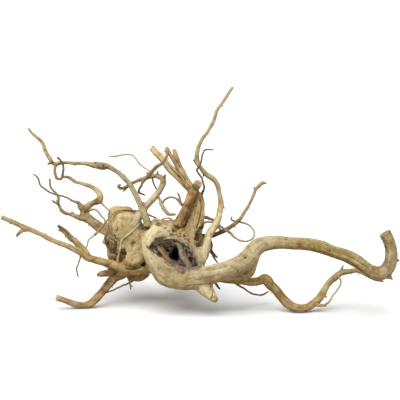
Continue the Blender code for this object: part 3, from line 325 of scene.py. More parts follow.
# Rootlets, spurs and broken tips, all thin.
ROOTLETS = {
    "limb_tip_spur": [(394, 260, -30, 3.4), (399.6, 260.6, -30, 0.8)],
    "limb_corner": [(386, 274, -36, 4.6), (392.6, 279.6, -37, 1)],
    "loop_base": [(313, 303.6, -18, 2.6), (320, 305.2, -20, 1.5), (326.6, 305.8, -22, 1.2)],
    "loop": [
        (324.6, 305.2, -22, 1.1), (329.2, 301.6, -23, 0.9), (333.4, 295, -22, 0.8), (338, 289, -19, 0.8),
        (340.7, 284, -13, 0.8), (340.4, 280, -9, 0.8), (338, 276, -5, 1),
    ],
    "sagging_spur_top": [(341, 271.6, -2, 1.8), (343.3, 264.8, -2, 0.6)],
    "sagging_spur_low": [(322.6, 294, -11, 1.4), (326.8, 297.8, -10, 0.8)],
    "under_rootlet": [
        (230, 280, -9, 1.6), (236.6, 284.2, -6, 0.9), (243.6, 288.2, -2, 0.8), (250.6, 292.8, 3, 0.8),
        (257, 294.9, 7, 0.8), (263, 294.8, 10, 0.8), (268.6, 291.2, 12, 0.8),
    ],
    "dark_tip": [(212, 279, -14, 1.4), (220, 289.2, -9, 0.9)],
    "arch_spur_right": [(221.4, 205.4, 7, 2), (224.8, 208.4, 7, 0.7)],
    "arch_spur_left": [(198, 164.6, 16, 1.8), (193, 159.6, 15, 0.8)],
    "arch_spur_low": [(205, 172.6, 14, 1.8), (202.6, 177, 14, 0.7)],
    "wiry_hook": [
        (200.6, 198, 14, 1.6), (202, 193.6, 10, 1.2), (204, 188.6, 6, 1), (203, 182.6, 5, 0.9),
        (201.4, 177.4, 6, 0.9), (198.4, 173, 8, 0.9),
        (196.6, 169.6, 9, 0.9), (199.4, 166, 10, 0.8), (201.2, 161.4, 12, 0.8), (202.2, 155.4, 13, 0.8),
        (204.8, 150, 15, 0.8), (209.4, 149.6, 17, 0.7), (214, 149.8, 20, 0.6),
    ],
    "tip_knob": [(255.8, 190.6, 40, 1.5), (253.8, 186.8, 40, 0.8)],
    "ring_rootlet": [
        (199, 218, 12, 2.4), (205.6, 217.4, 14, 1.6), (211, 219.2, 16, 1.3), (216.4, 222, 18, 1.2),
        (221.6, 227, 16, 1.2), (226.4, 230.6, 14, 1.3),
        (231, 233.4, 11, 1.3), (234, 237, 8, 1), (240, 240.2, 4, 0.9), (246, 241.2, 1, 0.8),
        (251, 239.8, 0, 0.8), (254, 235.6, 3, 0.8),
        (253.4, 230, 8, 0.8), (250, 226, 14, 0.8), (245, 223.2, 23, 0.8), (239, 222, 34, 0.8),
        (234.4, 221.2, 38, 0.8), (231.4, 219.4, 39, 0.8), (231.6, 216.4, 40, 0.6),
    ],
    "short_arc": [
        (202, 224.4, 12, 1.2), (206.6, 222, 12, 0.8), (213.6, 222.8, 14, 0.8), (218, 227, 18, 0.8),
        (221.6, 231, 25, 0.9),
    ],
    "upper_drop": [
        (55.4, 164.6, 62, 1.8), (55, 169, 58, 1.3), (55.2, 174, 54, 1.3), (57, 178.5, 51, 1.4),
        (61.2, 178.4, 51, 1.4), (62.9, 173, 53, 1.1),
        (63.6, 168, 54, 1), (62.4, 163, 55, 1), (59.8, 159.6, 56, 1), (56.8, 157, 57, 0.9),
    ],
    "upper_left_spur": [(51.6, 161.8, 64, 1.8), (47.4, 164.4, 63, 1.1)],
    "hook_spur": [(163.6, 181, 32, 2.4), (164.4, 177, 31, 1.6), (165.8, 174.2, 30, 0.7)],
    "hook_side": [(129, 186, 37, 1), (122.6, 191.8, 35, 0.7)],
    "hook_drop": [(152, 176.4, 36, 1), (154, 184, 38, 0.7), (157, 190, 40, 0.7)],
    "hook_top_spur": [(158, 176.8, 35, 1.4), (157.4, 170.6, 35, 0.8)],
    "hook_left_spur": [(144.6, 206, 17, 2.4), (142.6, 202, 17, 1)],
    "wavy_tip": [
        (84, 212, 36, 3), (80.6, 206, 34, 3), (78.6, 203, 33, 1.7), (72.6, 200.4, 31, 1),
        (68, 198, 30, 0.9), (63, 196, 29, 0.9), (58, 194.8, 28, 0.8),
        (53, 193.4, 26, 0.8), (48.4, 191.4, 24, 0.8), (44, 188.6, 22, 0.8), (41, 186, 21, 0.8),
        (39.2, 182.6, 20, 0.8), (38.2, 178.8, 19, 0.8), (36, 175.6, 18, 0.7), (33, 174, 18, 0.7),
    ],
    "low_fork_side": [(58.8, 204, 26, 1.3), (55, 202.6, 25, 1.1), (51.8, 200.4, 24, 1)],
    "low_fork_spur": [(76, 216.6, 32, 1.6), (71.4, 211.4, 32, 0.8)],
    "draped_rootlet": [
        (88, 210.6, 36, 1.4), (92, 209.6, 34, 1), (96.4, 210, 30, 1), (99.6, 214, 24, 0.9),
        (103, 217.6, 16, 0.9), (105.8, 222, 8, 0.9), (107.2, 227, 2, 1.1),
        (106.6, 233, 0, 1.2), (105.6, 239, 1, 1.3), (107.4, 245, 5, 1.2),
    ],
    "knee_rootlet": [
        (101.4, 203, 43, 1), (106, 207.4, 36, 0.7), (109.4, 211, 26, 0.7), (112.6, 216, 14, 0.7),
    ],
    "long_arc_rootlet": [
        (86, 253, -10, 1), (85.6, 249, -8, 0.7), (87.2, 244.6, -6, 0.7), (88.4, 240.4, -4, 0.7),
        (91.4, 237.2, -1, 0.7), (95.6, 233.8, 2, 0.9), (99, 230.4, 4, 1.2),
        (102, 226.4, 4, 1.1), (105.6, 222.2, 3, 0.7), (109.6, 217.4, 3, 0.7), (113, 213.8, 5, 0.8),
        (118, 211, 8, 0.8), (124, 209.8, 11, 0.8), (133, 210.4, 14, 0.8),
        (143, 211.8, 16, 0.8), (151, 215.8, 12, 0.8), (157, 218.4, 7, 0.8),
    ],
    "arc_spur": [(97.4, 232.4, 3, 1.1), (95.2, 236, 2, 0.7)],
    "front_rootlet": [
        (141.4, 216, 8, 1.4), (139.8, 222, 4, 1), (137, 227, 1, 1), (132, 231.6, -2, 1),
        (127, 235.2, -3, 1), (122, 240, -3, 1), (120.4, 246, -2, 1),
        (119.6, 251.6, -1, 1), (118, 257.6, 0, 1), (117.6, 264, 1, 1.1),
    ],
    "front_curl": [(107, 240.6, 5, 1.2), (111, 240.6, 2, 1), (113.6, 244.4, 1, 1), (112, 249.6, 2, 1.1)],
    "stick_root": [
        (156.6, 194, 25, 1.8), (159.6, 199.6, 22, 1.3), (161.8, 205, 18, 1.9), (165.2, 210.6, 14, 1.8),
        (168, 213.8, 12, 1.6), (172, 214.4, 10, 1.3), (176, 214.3, 8, 1.1),
    ],
    "stick_arc": [
        (162.4, 203, 19, 1.1), (164.6, 199.8, 18, 1), (168, 197.8, 15, 1), (172, 197.2, 12, 1),
        (176, 198.6, 9, 1), (179.4, 201.6, 6, 1.1), (183.6, 206.6, 1, 1.4),
    ],
    "stick_arc_spur": [(180.6, 202.8, 5, 1.2), (179.4, 197, 5, 0.9), (177, 192.4, 4, 0.8)],
    "crossing_rootlet": [
        (166.4, 150, 12, 2), (167, 154.4, 10, 1.4), (165.2, 159, 9, 1.3), (162.4, 163.2, 10, 1.4),
        (158, 165.4, 13, 1.7), (152.6, 170.6, 19, 1.9), (149, 175, 24, 2),
        (146, 178.2, 28, 1.7), (143.2, 181.6, 30, 1.4), (140.8, 186.4, 32, 1.2), (138.6, 191.4, 34, 1.2),
        (141.6, 193.8, 35, 0.9), (145.4, 195.4, 36, 0.8),
    ],
    "crossing_spur": [(149.6, 174.4, 24, 1.4), (146, 172.6, 23, 1)],
    "high_wire": [
        (150, 174, 22, 1), (148.6, 170.6, 24, 0.7), (144.4, 167.4, 28, 0.7), (140.2, 164.4, 32, 0.7),
        (136.6, 159.8, 36, 0.7), (133.8, 156.2, 40, 0.7), (130.6, 154.5, 42, 0.7),
        (127, 154.2, 44, 0.7), (121, 155.4, 48, 0.7), (115, 156.3, 52, 0.7), (108.6, 156.8, 56, 0.6),
    ],
    "burl_top_wire": [(159, 221.4, 3, 1), (166, 218, 1, 0.7), (172, 218.8, 0, 0.7)],
    "lower_spur": [
        (26, 229.4, -31, 2.6), (21.4, 231, -32, 1.9), (18.4, 233.8, -33, 1.5), (16.8, 237, -34, 1.2),
    ],
    "straight_wire": [
        (105, 292, 1, 1.4), (110, 291.4, 4, 0.8), (122, 286, 12, 0.8), (130, 282.4, 16, 0.9),
        (137, 277.6, 17, 1), (141, 274, 14, 1.2),
    ],
    "drip_rootlet": [(129, 277, 12, 1.2), (129.6, 283, 9, 0.8), (130.6, 286.6, 8, 0.8), (130.7, 290, 7, 0.7)],
    "drip_side": [(130.2, 285, 8, 0.8), (132.8, 286.8, 7, 0.7)],
    "hanging_rootlet": [
        (81, 254, -13, 1.2), (79.8, 259.4, -11, 0.7), (78.4, 263.6, -10, 0.7), (76.7, 267.6, -9, 0.7),
        (77, 272.4, -8, 0.7), (78.2, 277.6, -8, 0.7),
    ],
}


# The peeled wood's own colours, and the colours of the shade painted on it
CREAM = "#cdbf95"
ROSE = "#bda07c"
STRAW = "#ccb582"
SAND = "#aa9c79"
BONE = "#bdae8e"
FAWN = "#98875f"
OLIVE = "#7f6c3c"
TAN = "#b2986f"
DRAB = "#85765a"
OCHRE = "#a98a52"
GINGER = "#926a35"
UMBER = "#704819"
GOLDEN = "#9a6420"
DUN = "#5a4126"
PALE = "#d8cca4"
ASH = "#8f8a70"
BROWN = "#86623a"
HEARTWOOD = "#6b3f14"
STREAK = "#6d5527"
# soil in the rotted pits and specks, and also the painted shade in the grooves
SOIL_AND_SHADE = "#3b2a14"
ROT_GREY = "#b0a897"
ROT_PURPLE = "#7d6f69"
ROT_BROWN = "#8a5628"
# painted shade: the colour that the wood's undersides are multiplied by
UNDERSIDE_SHADE = "#a88a4e"
# the darkest marks, and also the painted shade deep in the hollow
DEEP_DARK_AND_SHADE = "#2a1a0c"

# The wood's colour along each root, and how dark it is, at places from its start (0) to its tip (1).
PLAIN = [(0, FAWN, 0.0), (1, FAWN, 0.0)]
WIRY = [(0, FAWN, 0.1), (0.6, GINGER, 0.25), (1, DUN, 0.6)]
TONES = {
    "rim_and_limb": [
        (0, CREAM, 0), (0.1, CREAM, 0), (0.15, SAND, 0), (0.34, SAND, 0), (0.5, SAND, 0), (0.58, FAWN, 0),
        (0.66, OLIVE, 0), (0.8, OLIVE, 0), (0.9, DRAB, 0), (1, FAWN, 0.1),
    ],
    "lip_edge": [(0, CREAM, 0), (0.6, CREAM, 0), (1, FAWN, 0)],
    "lobe_under_limb": [(0, SAND, 0), (1, FAWN, 0.05)],
    "front_nub": [(0, SAND, 0), (0.3, CREAM, 0), (0.8, CREAM, 0), (1, OCHRE, 0)],
    "trunk": [(0, FAWN, 0), (0.5, GINGER, 0), (1, FAWN, 0.05)],
    "trunk_ridge": [(0, FAWN, 0), (0.3, FAWN, 0), (0.55, OCHRE, 0), (0.8, GINGER, 0), (1, GINGER, 0.15)],
    "hollow_wall_right": [(0, FAWN, 0.05), (0.5, SAND, 0), (1, SAND, 0)],
    "foot_web": [(0, SAND, 0), (1, CREAM, 0)],
    "arch_foot": [(0, CREAM, 0), (1, BONE, 0)],
    "brow": [(0, CREAM, 0), (0.6, SAND, 0), (1, FAWN, 0)],
    "top_lump_left": [(0, OCHRE, 0.05), (1, OCHRE, 0.1)],
    "top_lump_right": [(0, FAWN, 0.05), (1, FAWN, 0.1)],
    "left_foot_roots": [(0, OCHRE, 0.05), (0.5, OCHRE, 0), (1, OCHRE, 0)],
    "left_floor_root": [(0, OCHRE, 0), (1, OCHRE, 0)],
    "bottom_flap": [(0, OLIVE, 0.25), (1, OLIVE, 0.35)],
    "back_foot_root": [(0, FAWN, 0), (1, OLIVE, 0)],
    "back_left_root": [(0, FAWN, 0), (1, FAWN, 0)],
    "sagging_root": [
        (0, UMBER, 0.4), (0.1, GINGER, 0.15), (0.2, OLIVE, 0), (0.3, GINGER, 0), (0.45, OLIVE, 0),
        (0.6, OCHRE, 0), (0.8, FAWN, 0), (0.93, FAWN, 0.05), (1, DUN, 0.5),
    ],
    "arch_root": [(0, CREAM, 0), (0.25, CREAM, 0), (0.4, FAWN, 0), (0.6, FAWN, 0), (1, FAWN, 0)],
    "back_root_of_right": [(0, UMBER, 0.4), (0.35, UMBER, 0.2), (0.6, OCHRE, 0.05), (1, FAWN, 0.05)],
    "back_root_fork": [(0, UMBER, 0.3), (1, GINGER, 0.1)],
    "back_root_fork_tip": [(0, UMBER, 0.5), (1, DUN, 0.8)],
    "long_upper_root": [
        (0, FAWN, 0), (0.12, DRAB, 0), (0.4, DRAB, 0), (0.55, DRAB, 0), (0.7, GINGER, 0.1),
        (0.85, OCHRE, 0.05), (1, GINGER, 0.3),
    ],
    "hooked_upper_root": [
        (0, FAWN, 0.1), (0.12, OLIVE, 0.1), (0.3, BONE, 0), (0.6, BONE, 0), (0.75, OCHRE, 0), (1, FAWN, 0),
    ],
    "forked_left_root": [(0, FAWN, 0.1), (0.5, OLIVE, 0.1), (0.62, STRAW, 0), (0.8, SAND, 0), (1, FAWN, 0.1)],
    "forked_left_low": [(0, FAWN, 0), (0.6, SAND, 0), (1, GINGER, 0.3)],
    "long_lower_root": [(0, GINGER, 0), (0.3, OCHRE, 0), (0.5, TAN, 0), (0.8, TAN, 0), (1, TAN, 0)],
    "left_hook_root": [
        (0, UMBER, 0.05), (0.3, UMBER, 0.0), (0.5, GINGER, 0), (0.75, FAWN, 0), (1, TAN, 0.05),
    ],
    "brown_heartwood_root": [
        (0, UMBER, 0.35), (0.15, GOLDEN, 0.0), (0.38, UMBER, 0.0), (0.48, HEARTWOOD, 0.35),
        (0.56, UMBER, 0.0), (0.75, GOLDEN, 0.0), (0.9, UMBER, 0.1), (1, DUN, 0.6),
    ],
    "cut_stub": [(0, OLIVE, 0.1), (0.5, FAWN, 0), (0.8, ROSE, 0), (1, ROSE, 0)],
    "split_left": [(0, TAN, 0.0), (1, STRAW, 0)],
    "split_middle": [(0, OCHRE, 0.0), (1, OCHRE, 0)],
    "split_right": [(0, STRAW, 0.0), (1, OCHRE, 0.0)],
    "brown_stub": [(0, UMBER, 0.3), (1, HEARTWOOD, 0.35)],
    "split_spur": [(0, OCHRE, 0.05), (0.7, GINGER, 0.05), (1, DUN, 0.8)],
    "split_spur_low": [(0, GINGER, 0.1), (0.7, GINGER, 0.1), (1, DUN, 0.8)],
    "tongue": [(0, GINGER, 0), (1, OCHRE, 0)],
    "tongue_strand": [(0, UMBER, 0.1), (1, GINGER, 0.1)],
    "hollow_ridge": [(0, ROT_PURPLE, 0), (1, ROT_PURPLE, 0)],
    "under_rootlet": [(0, DUN, 0.8), (1, DUN, 0.6)],
    "dark_tip": [(0, DUN, 0.9), (1, DUN, 0.9)],
    "wiry_hook": [(0, UMBER, 0.6), (0.4, DUN, 0.8), (1, DUN, 0.7)],
    "loop_base": [(0, OLIVE, 0), (1, FAWN, 0)],
    "loop": [(0, FAWN, 0), (1, FAWN, 0.05)],
    "ring_rootlet": [(0, GINGER, 0.25), (0.5, OCHRE, 0.1), (1, DUN, 0.5)],
    "crossing_rootlet": [(0, UMBER, 0.1), (0.3, UMBER, 0.05), (0.6, FAWN, 0), (1, GINGER, 0.4)],
    "high_wire": [(0, FAWN, 0), (1, OCHRE, 0.1)],
    "front_rootlet": [(0, BONE, 0), (1, BONE, 0)],
    "stick_root": [(0, GINGER, 0.1), (0.5, SAND, 0), (1, FAWN, 0.1)],
    "upper_drop": [(0, GINGER, 0.2), (0.6, UMBER, 0.5), (1, DUN, 0.9)],
    "wavy_tip": [(0, FAWN, 0), (0.3, GINGER, 0.2), (1, DUN, 0.8)],
    "core": [(0, SAND, 0), (1, SAND, 0)],
    "bowl": [(0, SAND, 0), (1, SAND, 0)],
    "apron": [(0, FAWN, 0.05), (0.4, FAWN, 0), (1, OCHRE, 0)],
    "block_crest": [(0, STRAW, 0), (1, OCHRE, 0)],
    "block_face": [(0, FAWN, 0.05), (0.5, STRAW, 0), (1, STRAW, 0)],
    "block_flank": [(0, STRAW, 0), (0.5, STRAW, 0), (1, FAWN, 0)],
    "block_upper": [(0, STRAW, 0), (1, STRAW, 0)],
    "hook_base": [(0, BONE, 0), (0.5, FAWN, 0), (1, OLIVE, 0)],
    "block_shoulder": [(0, SAND, 0), (1, SAND, 0)],
    "block_middle": [(0, OCHRE, 0), (1, STRAW, 0)],
    "block_left": [(0, OCHRE, 0), (1, SAND, 0)],
    "block_low": [(0, STRAW, 0), (1, TAN, 0)],
    "block_joint": [(0, OCHRE, 0), (1, STRAW, 0)],
    "left_bump": [(0, SAND, 0), (1, SAND, 0)],
    "block_base": [(0, OCHRE, 0.1), (1, OCHRE, 0)],
    "back_knob": [(0, FAWN, 0), (1, SAND, 0)],
    "back_top_knob": [(0, FAWN, 0), (1, SAND, 0)],
    "block_back_knob": [(0, FAWN, 0), (1, SAND, 0)],
}
# what is left standing in the hollow: its colour, and how much of it has rotted grey
IN_HOLLOW = {"hollow_ridge": (ROT_PURPLE, 0.75), "tongue": (BROWN, 0.2), "tongue_strand": (UMBER, 0.2)}


# Placing and colours

def linear(code):
    """An sRGB hex colour as linear light, with alpha."""
    channels = [int(code[i : i + 2], 16) / 255 for i in (1, 3, 5)]
    return (*[c / 12.92 if c <= 0.04045 else ((c + 0.055) / 1.055) ** 2.4 for c in channels], 1.0)


def placed(across, down, depth):
    """The point drawn there at that depth, in millimetres, and how much larger than drawn the eye sees it."""
    rise = math.sin(EYE_RISE)
    level = math.cos(EYE_RISE)
    eye_y = -EYE_DISTANCE * level
    eye_z = MIDDLE_HEIGHT + EYE_DISTANCE * rise
    up = MIDDLE_DOWN - down
    drawn_y = up * rise
    drawn_z = MIDDLE_HEIGHT + up * level
    reach = (depth - eye_y) / (drawn_y - eye_y)
    x = MIDDLE_ACROSS - ORIGIN_ACROSS + reach * (across - MIDDLE_ACROSS)
    return Vector((x, depth - ORIGIN_DEPTH, eye_z + reach * (drawn_z - eye_z))), reach


def smooth(route, step):
    """Points on one smooth curve through a route's knots, as rows of x, y, z, radius, about a step apart."""
    knots = []
    for across, down, depth, radius in route:
        place, reach = placed(across, down, depth)
        knots.append(np.array((*place, radius * reach)))
    slopes = []
    for i in range(len(knots)):
        run = knots[min(i + 1, len(knots) - 1)][:3] - knots[max(i - 1, 0)][:3]
        slopes.append(run / np.linalg.norm(run))
    rows = []
    for i, (a, b) in enumerate(zip(knots, knots[1:])):
        length = np.linalg.norm(b[:3] - a[:3])
        count = max(1, round(length / step))
        for k in range(count):
            t = k / count
            s = t * t * (3 - 2 * t)
            row = a * (1 - s) + b * s
            row[:3] += slopes[i] * length * t * (1 - t) ** 2 - slopes[i + 1] * length * t * t * (1 - t)
            rows.append(row)
    rows.append(knots[-1])
    return np.array(rows)


def upright(across, down, depth, half_across, half_height, half_depth):
    """A lump's own middle line, from its foot to its top, as rows of x, y, z, radius."""
    place, reach = placed(across, down, depth)
    radius = 0.45 * (half_across + half_depth) * reach
    rise = max(half_height * reach - radius, 1.0)
    return np.array([(place.x, place.y, place.z + t * rise, radius) for t in np.linspace(-1, 1, 7)])


def run_of(rows):
    """How far along its way each row lies, in millimetres."""
    return np.concatenate(([0], np.linalg.norm(np.diff(rows[:, :3], axis=0), axis=1).cumsum()))


# Noise

def mixed(cells, seed):
    """A well-mixed whole number for each cell."""
    # large odd numbers, which spread every bit over the whole
    h = cells[:, 0] * 73856093 ^ cells[:, 1] * 19349663 ^ cells[:, 2] * 83492791
    h = h ^ (seed * 2654435761 & 0xFFFFFFFF)
    h = (h ^ (h >> 13)) * 1274126177 & 0xFFFFFFFF
    h = (h ^ (h >> 16)) * 2246822519 & 0xFFFFFFFF
    return h ^ (h >> 15)


def noise(points, seed=0):
    """Smooth gradient noise at each point, between about -1 and 1."""
    base = np.floor(points).astype(np.int64)
    part = points - base
    ease = part * part * part * (part * (part * 6 - 15) + 10)
    total = np.zeros(len(points))
    for corner in range(8):
        step = np.array((corner & 1, corner >> 1 & 1, corner >> 2 & 1))
        h = mixed(base + step, seed)
        gradient = np.stack((h & 1023, h >> 10 & 1023, h >> 20 & 1023), axis=1) / 511.5 - 1
        weight = np.where(step, ease, 1 - ease).prod(axis=1)
        total += weight * (gradient * (part - step)).sum(axis=1)
    return total * 1.6


def rough(points, octaves, seed=0):
    """Noise with finer noise on it."""
    total = np.zeros(len(points))
    for k in range(octaves):
        total += noise(points * 2.03**k, seed + k) / 2**k
    return total


def own_ways(run, *apart):
    """A straight line through the noise for one root, as long as its run and apart from the others."""
    return np.stack((run, *[np.full(len(run), far) for far in apart]), axis=1)


def rising(value, low, high):
    """0 below low and 1 above high, with a soft step between."""
    t = np.clip((value - low) / (high - low), 0, 1)
    return t * t * (3 - 2 * t)


# The grain: which root each point of the wood belongs to, and where it lies along and round it

class Grain:
    """The roots' centre lines, close enough together to tell where a point of the wood lies."""

    def __init__(self):
        rows, ways, normals, sides, along, share, starts, names = [], [], [], [], [], [], [], []
        count = 0
        routes = {**BURL_ROOTS, **ROOTS, **ROOTLETS}
        lines = [(name, smooth(route, GRAIN_STEP)) for name, route in routes.items()]
        lines += [(name, upright(*sizes[:-1])) for name, sizes in BURL_LUMPS.items()]
        for name, line in lines:
            tangent = np.gradient(line[:, :3], axis=0)
            tangent /= np.linalg.norm(tangent, axis=1)[:, None]
            normal = np.zeros_like(tangent)
            across = np.cross(tangent[0], (0.3, 0.2, 0.9))
            for i, t in enumerate(tangent):
                across = across - t * across.dot(t)
                across /= np.linalg.norm(across)
                normal[i] = across
            run = run_of(line)
            rows.append(line)
            ways.append(tangent)
            normals.append(normal)
            sides.append(np.cross(tangent, normal))
            along.append(run)
            share.append(run / run[-1])
            starts.append(count)
            names.append(name)
            count += len(line)
        self.line = np.concatenate(rows).astype(np.float32)
        self.way = np.concatenate(ways)
        self.normal = np.concatenate(normals)
        self.side = np.concatenate(sides)
        self.along = np.concatenate(along)
        self.share = np.concatenate(share)
        self.starts = np.array(starts)
        self.names = names
        self.route_of = np.repeat(np.arange(len(names)), np.diff(starts + [count]))
        self.grown_along = np.array([name not in BURL_LUMPS for name in names])[self.route_of].astype(float)
        self.tone, self.size = np.zeros((count, 4)), np.zeros(count)
        for i, name in enumerate(names):
            here = self.route_of == i
            self.size[here] = max(self.line[here, 3].mean(), 1.0)
            tones = TONES.get(name, WIRY if name in ROOTLETS else PLAIN)
            shares = [share for share, _, _ in tones]
            columns = np.array([(*linear(code)[:3], dark) for _, code, dark in tones])
            for column in range(4):
                self.tone[here, column] = np.interp(self.share[here], shares, columns[:, column])

    def apart(self, points):
        """How far each point is outside each centre-line sample's own radius."""
        some, centres = points.astype(np.float32), self.line[:, :3]
        squares = (some**2).sum(axis=1)[:, None] + (centres**2).sum(axis=1) - 2 * some @ centres.T
        return np.sqrt(np.maximum(squares, 0)) - self.line[:, 3]

    def tones(self, points):
        """Each point's colour and how dark it is, blended where roots meet."""
        tones = np.zeros((len(points), 4))
        ends = self.tone.astype(np.float32)
        for first in range(0, len(points), GRAIN_CHUNK):
            apart = self.apart(points[first : first + GRAIN_CHUNK])
            best = apart.argmin(axis=1)
            nearest = apart[np.arange(len(apart)), best]
            softness = np.clip(BLEND * self.line[best, 3], *BLEND_RANGE)
            weight = np.exp(-(apart - nearest[:, None]) / softness[:, None])
            tones[first : first + GRAIN_CHUNK] = (weight @ ends) / weight.sum(axis=1)[:, None]
        return tones

    def on_root(self, points, name):
        """Which points lie on that one root's own surface."""
        line = self.line[self.route_of == self.names.index(name)].astype(np.float64)
        apart = np.full(len(points), np.inf)
        for x, y, z, radius in line:
            apart = np.minimum(apart, np.linalg.norm(points - (x, y, z), axis=1) - radius)
        return (apart > ON_ROOT[0]) & (apart < ON_ROOT[1])

    def locate(self, points):
        """Each point's nearest sample, its place along and across the root, and the gap to the next root."""
        found = np.zeros(len(points), dtype=np.int64)
        gap = np.zeros(len(points))
        for first in range(0, len(points), GRAIN_CHUNK):
            apart = self.apart(points[first : first + GRAIN_CHUNK])
            rows = np.arange(len(apart))
            best = apart.argmin(axis=1)
            nearest = apart[rows, best]
            by_route = np.minimum.reduceat(apart, self.starts, axis=1)
            by_route[rows, self.route_of[best]] = np.inf
            found[first : first + GRAIN_CHUNK] = best
            gap[first : first + GRAIN_CHUNK] = by_route.min(axis=1) - nearest
        off = points - self.line[found, :3]
        a = (off * self.normal[found]).sum(axis=1)
        b = (off * self.side[found]).sum(axis=1)
        along = self.along[found] + (off * self.way[found]).sum(axis=1)
        along *= np.where(self.grown_along[found] > 0, 1, LUMP_GRAIN)
        flow = np.stack((along + ROUTES_APART * self.route_of[found], a, b), axis=1)
        return found, flow, gap


# Meshes

def new_object(name, data):
    obj = bpy.data.objects.new(name, data)
    bpy.context.scene.collection.objects.link(obj)
    return obj


def mesh_object(name, bm):
    mesh = bpy.data.meshes.new(name)
    bm.to_mesh(mesh)
    bm.free()
    return new_object(name, mesh)


def tube(name, rows, sides):
    """A closed tube through rows of x, y, z, radius in millimetres."""
    curve = bpy.data.curves.new(name, "CURVE")
    curve.dimensions = "3D"
    curve.bevel_depth = 1.0
    curve.bevel_resolution = (sides - 4) // 2
    curve.use_fill_caps = True
    spline = curve.splines.new("POLY")
    spline.points.add(len(rows) - 1)
    for point, (x, y, z, radius) in zip(spline.points, rows * MM):
        point.co = (x, y, z, 1)
        point.radius = radius
    drawn = new_object(name + "_line", curve)
    graph = bpy.context.evaluated_depsgraph_get()
    mesh = bpy.data.meshes.new_from_object(drawn.evaluated_get(graph))
    bpy.data.objects.remove(drawn)
    bm = bmesh.new()
    bm.from_mesh(mesh)
    bpy.data.meshes.remove(mesh)
    bmesh.ops.remove_doubles(bm, verts=bm.verts, dist=0.01 * MM)
    bmesh.ops.recalc_face_normals(bm, faces=bm.faces)
    return mesh_object(name, bm)


def lump(name, across, down, depth, half_across, half_height, half_depth, squareness):
    """A knobbly mass of the burl."""
    place, reach = placed(across, down, depth)
    size = Vector((half_across, half_depth, half_height)) * reach
    bm = bmesh.new()
    bmesh.ops.create_icosphere(bm, subdivisions=5, radius=1.0)
    for vert in bm.verts:
        shape = Vector(math.copysign(abs(c) ** squareness, c) * r for c, r in zip(vert.co, size))
        vert.co = (place + shape) * MM
    return mesh_object(name, bm)


def loft(name, outlines):
    """A closed body through outlines on the drawing, each at its own depth."""
    bm = bmesh.new()
    rings = []
    for depth, outline in outlines:
        rings.append([bm.verts.new(placed(*point, depth)[0] * MM) for point in outline])
    for near, far in zip(rings, rings[1:]):
        for i in range(len(near)):
            j = (i + 1) % len(near)
            bm.faces.new((near[i], near[j], far[j], far[i]))
    bm.faces.new(rings[0])
    bm.faces.new(reversed(rings[-1]))
    bmesh.ops.recalc_face_normals(bm, faces=bm.faces)
    return mesh_object(name, bm)


def applied(obj):
    graph = bpy.context.evaluated_depsgraph_get()
    mesh = bpy.data.meshes.new_from_object(obj.evaluated_get(graph))
    obj.modifiers.clear()
    obj.data = mesh
    return obj


def joined(name, pieces):
    bm = bmesh.new()
    for piece in pieces:
        bm.from_mesh(piece.data)
        bpy.data.objects.remove(piece)
    return mesh_object(name, bm)


def skinned(obj, voxel, rounds):
    """One skin over all that overlaps, softened where pieces meet."""
    skin = obj.modifiers.new("skin", "REMESH")
    skin.mode = "VOXEL"
    skin.voxel_size = voxel * MM
    soft = obj.modifiers.new("soft", "SMOOTH")
    soft.factor = 0.5
    soft.iterations = rounds
    return applied(obj)


def thinned(obj, triangles):
    obj.data.calc_loop_triangles()
    have = len(obj.data.loop_triangles)
    if have > triangles:
        fewer = obj.modifiers.new("fewer", "DECIMATE")
        fewer.ratio = triangles / have
        fewer.use_collapse_triangulate = True
        applied(obj)
    return obj


def combined(obj, operation, other):
    step = obj.modifiers.new(operation.lower(), "BOOLEAN")
    step.operation = operation
    step.solver = "MANIFOLD"
    step.object = other
    applied(obj)
    bpy.data.objects.remove(other)
    return obj


def surface_of(mesh):
    """The mesh's surface, to be asked what lies nearest or what a ray meets."""
    return BVHTree.FromPolygons([v.co for v in mesh.vertices], [p.vertices for p in mesh.polygons])


def vectors(values, name):
    """What all the values hold under that name, as rows of three."""
    flat = np.empty(len(values) * 3, dtype=np.float32)
    values.foreach_get(name, flat)
    return flat.reshape(-1, 3).astype(np.float64)


def points_of(mesh):
    return vectors(mesh.vertices, "co") / MM


def normals_of(mesh):
    return vectors(mesh.vertex_normals, "vector")


def move_points(mesh, points):
    mesh.vertices.foreach_set("co", (points * MM).astype(np.float32).ravel())
    mesh.update()


def neighbour_mean(mesh, values, rounds):
    """The values averaged over each point's neighbours, again and again."""
    pairs = np.empty(len(mesh.edges) * 2, dtype=np.int32)
    mesh.edges.foreach_get("vertices", pairs)
    a, b = pairs[::2], pairs[1::2]
    size = len(mesh.vertices)
    count = np.bincount(a, minlength=size) + np.bincount(b, minlength=size)
    for _ in range(rounds):
        columns = []
        for column in np.atleast_2d(values.T):
            columns.append(np.bincount(a, column[b], size) + np.bincount(b, column[a], size))
        mean = np.stack(columns, axis=1) / np.maximum(count, 1)[:, None]
        values = (values + mean.reshape(values.shape)) / 2
    return values


# The marks that the photograph shows, each at its place on the drawing, as seen from the eye

FLATS = [
    # across, down and depth of a point on the face, the way it faces, how far it reaches
    (124, 224, 2.5, (-0.12, -0.93, 0.3), 15),
    (119, 209, 17, (-0.05, -0.3, 0.95), 12),
    (109.8, 226, 14, (-0.96, -0.25, 0.1), 14),
    (134, 252, -3.4, (-0.05, -0.98, 0.1), 14),
]
HOLES = [
    # across, down, radius, depth
    (245, 257.4, 1.9, 0.9), (247.6, 277, 1.1, 1.2), (238, 271.4, 0.9, 0.6), (329.4, 250.6, 1.2, 0.5),
    (299.4, 244.6, 1.0, 0.4), (286, 239.4, 0.8, 0.5), (147.4, 227.4, 2.4, 2.2), (143.4, 264.4, 2.4, 2.6),
    (173.2, 231, 1.6, 1), (157.4, 223.4, 1.6, 1.6), (162.6, 221.6, 1.2, 1.2), (103.4, 166.4, 1.4, 0.8),
    (189.6, 188.4, 1.4, 1), (214.6, 297, 1, 1), (389.6, 262.4, 0.9, 0.8),
]
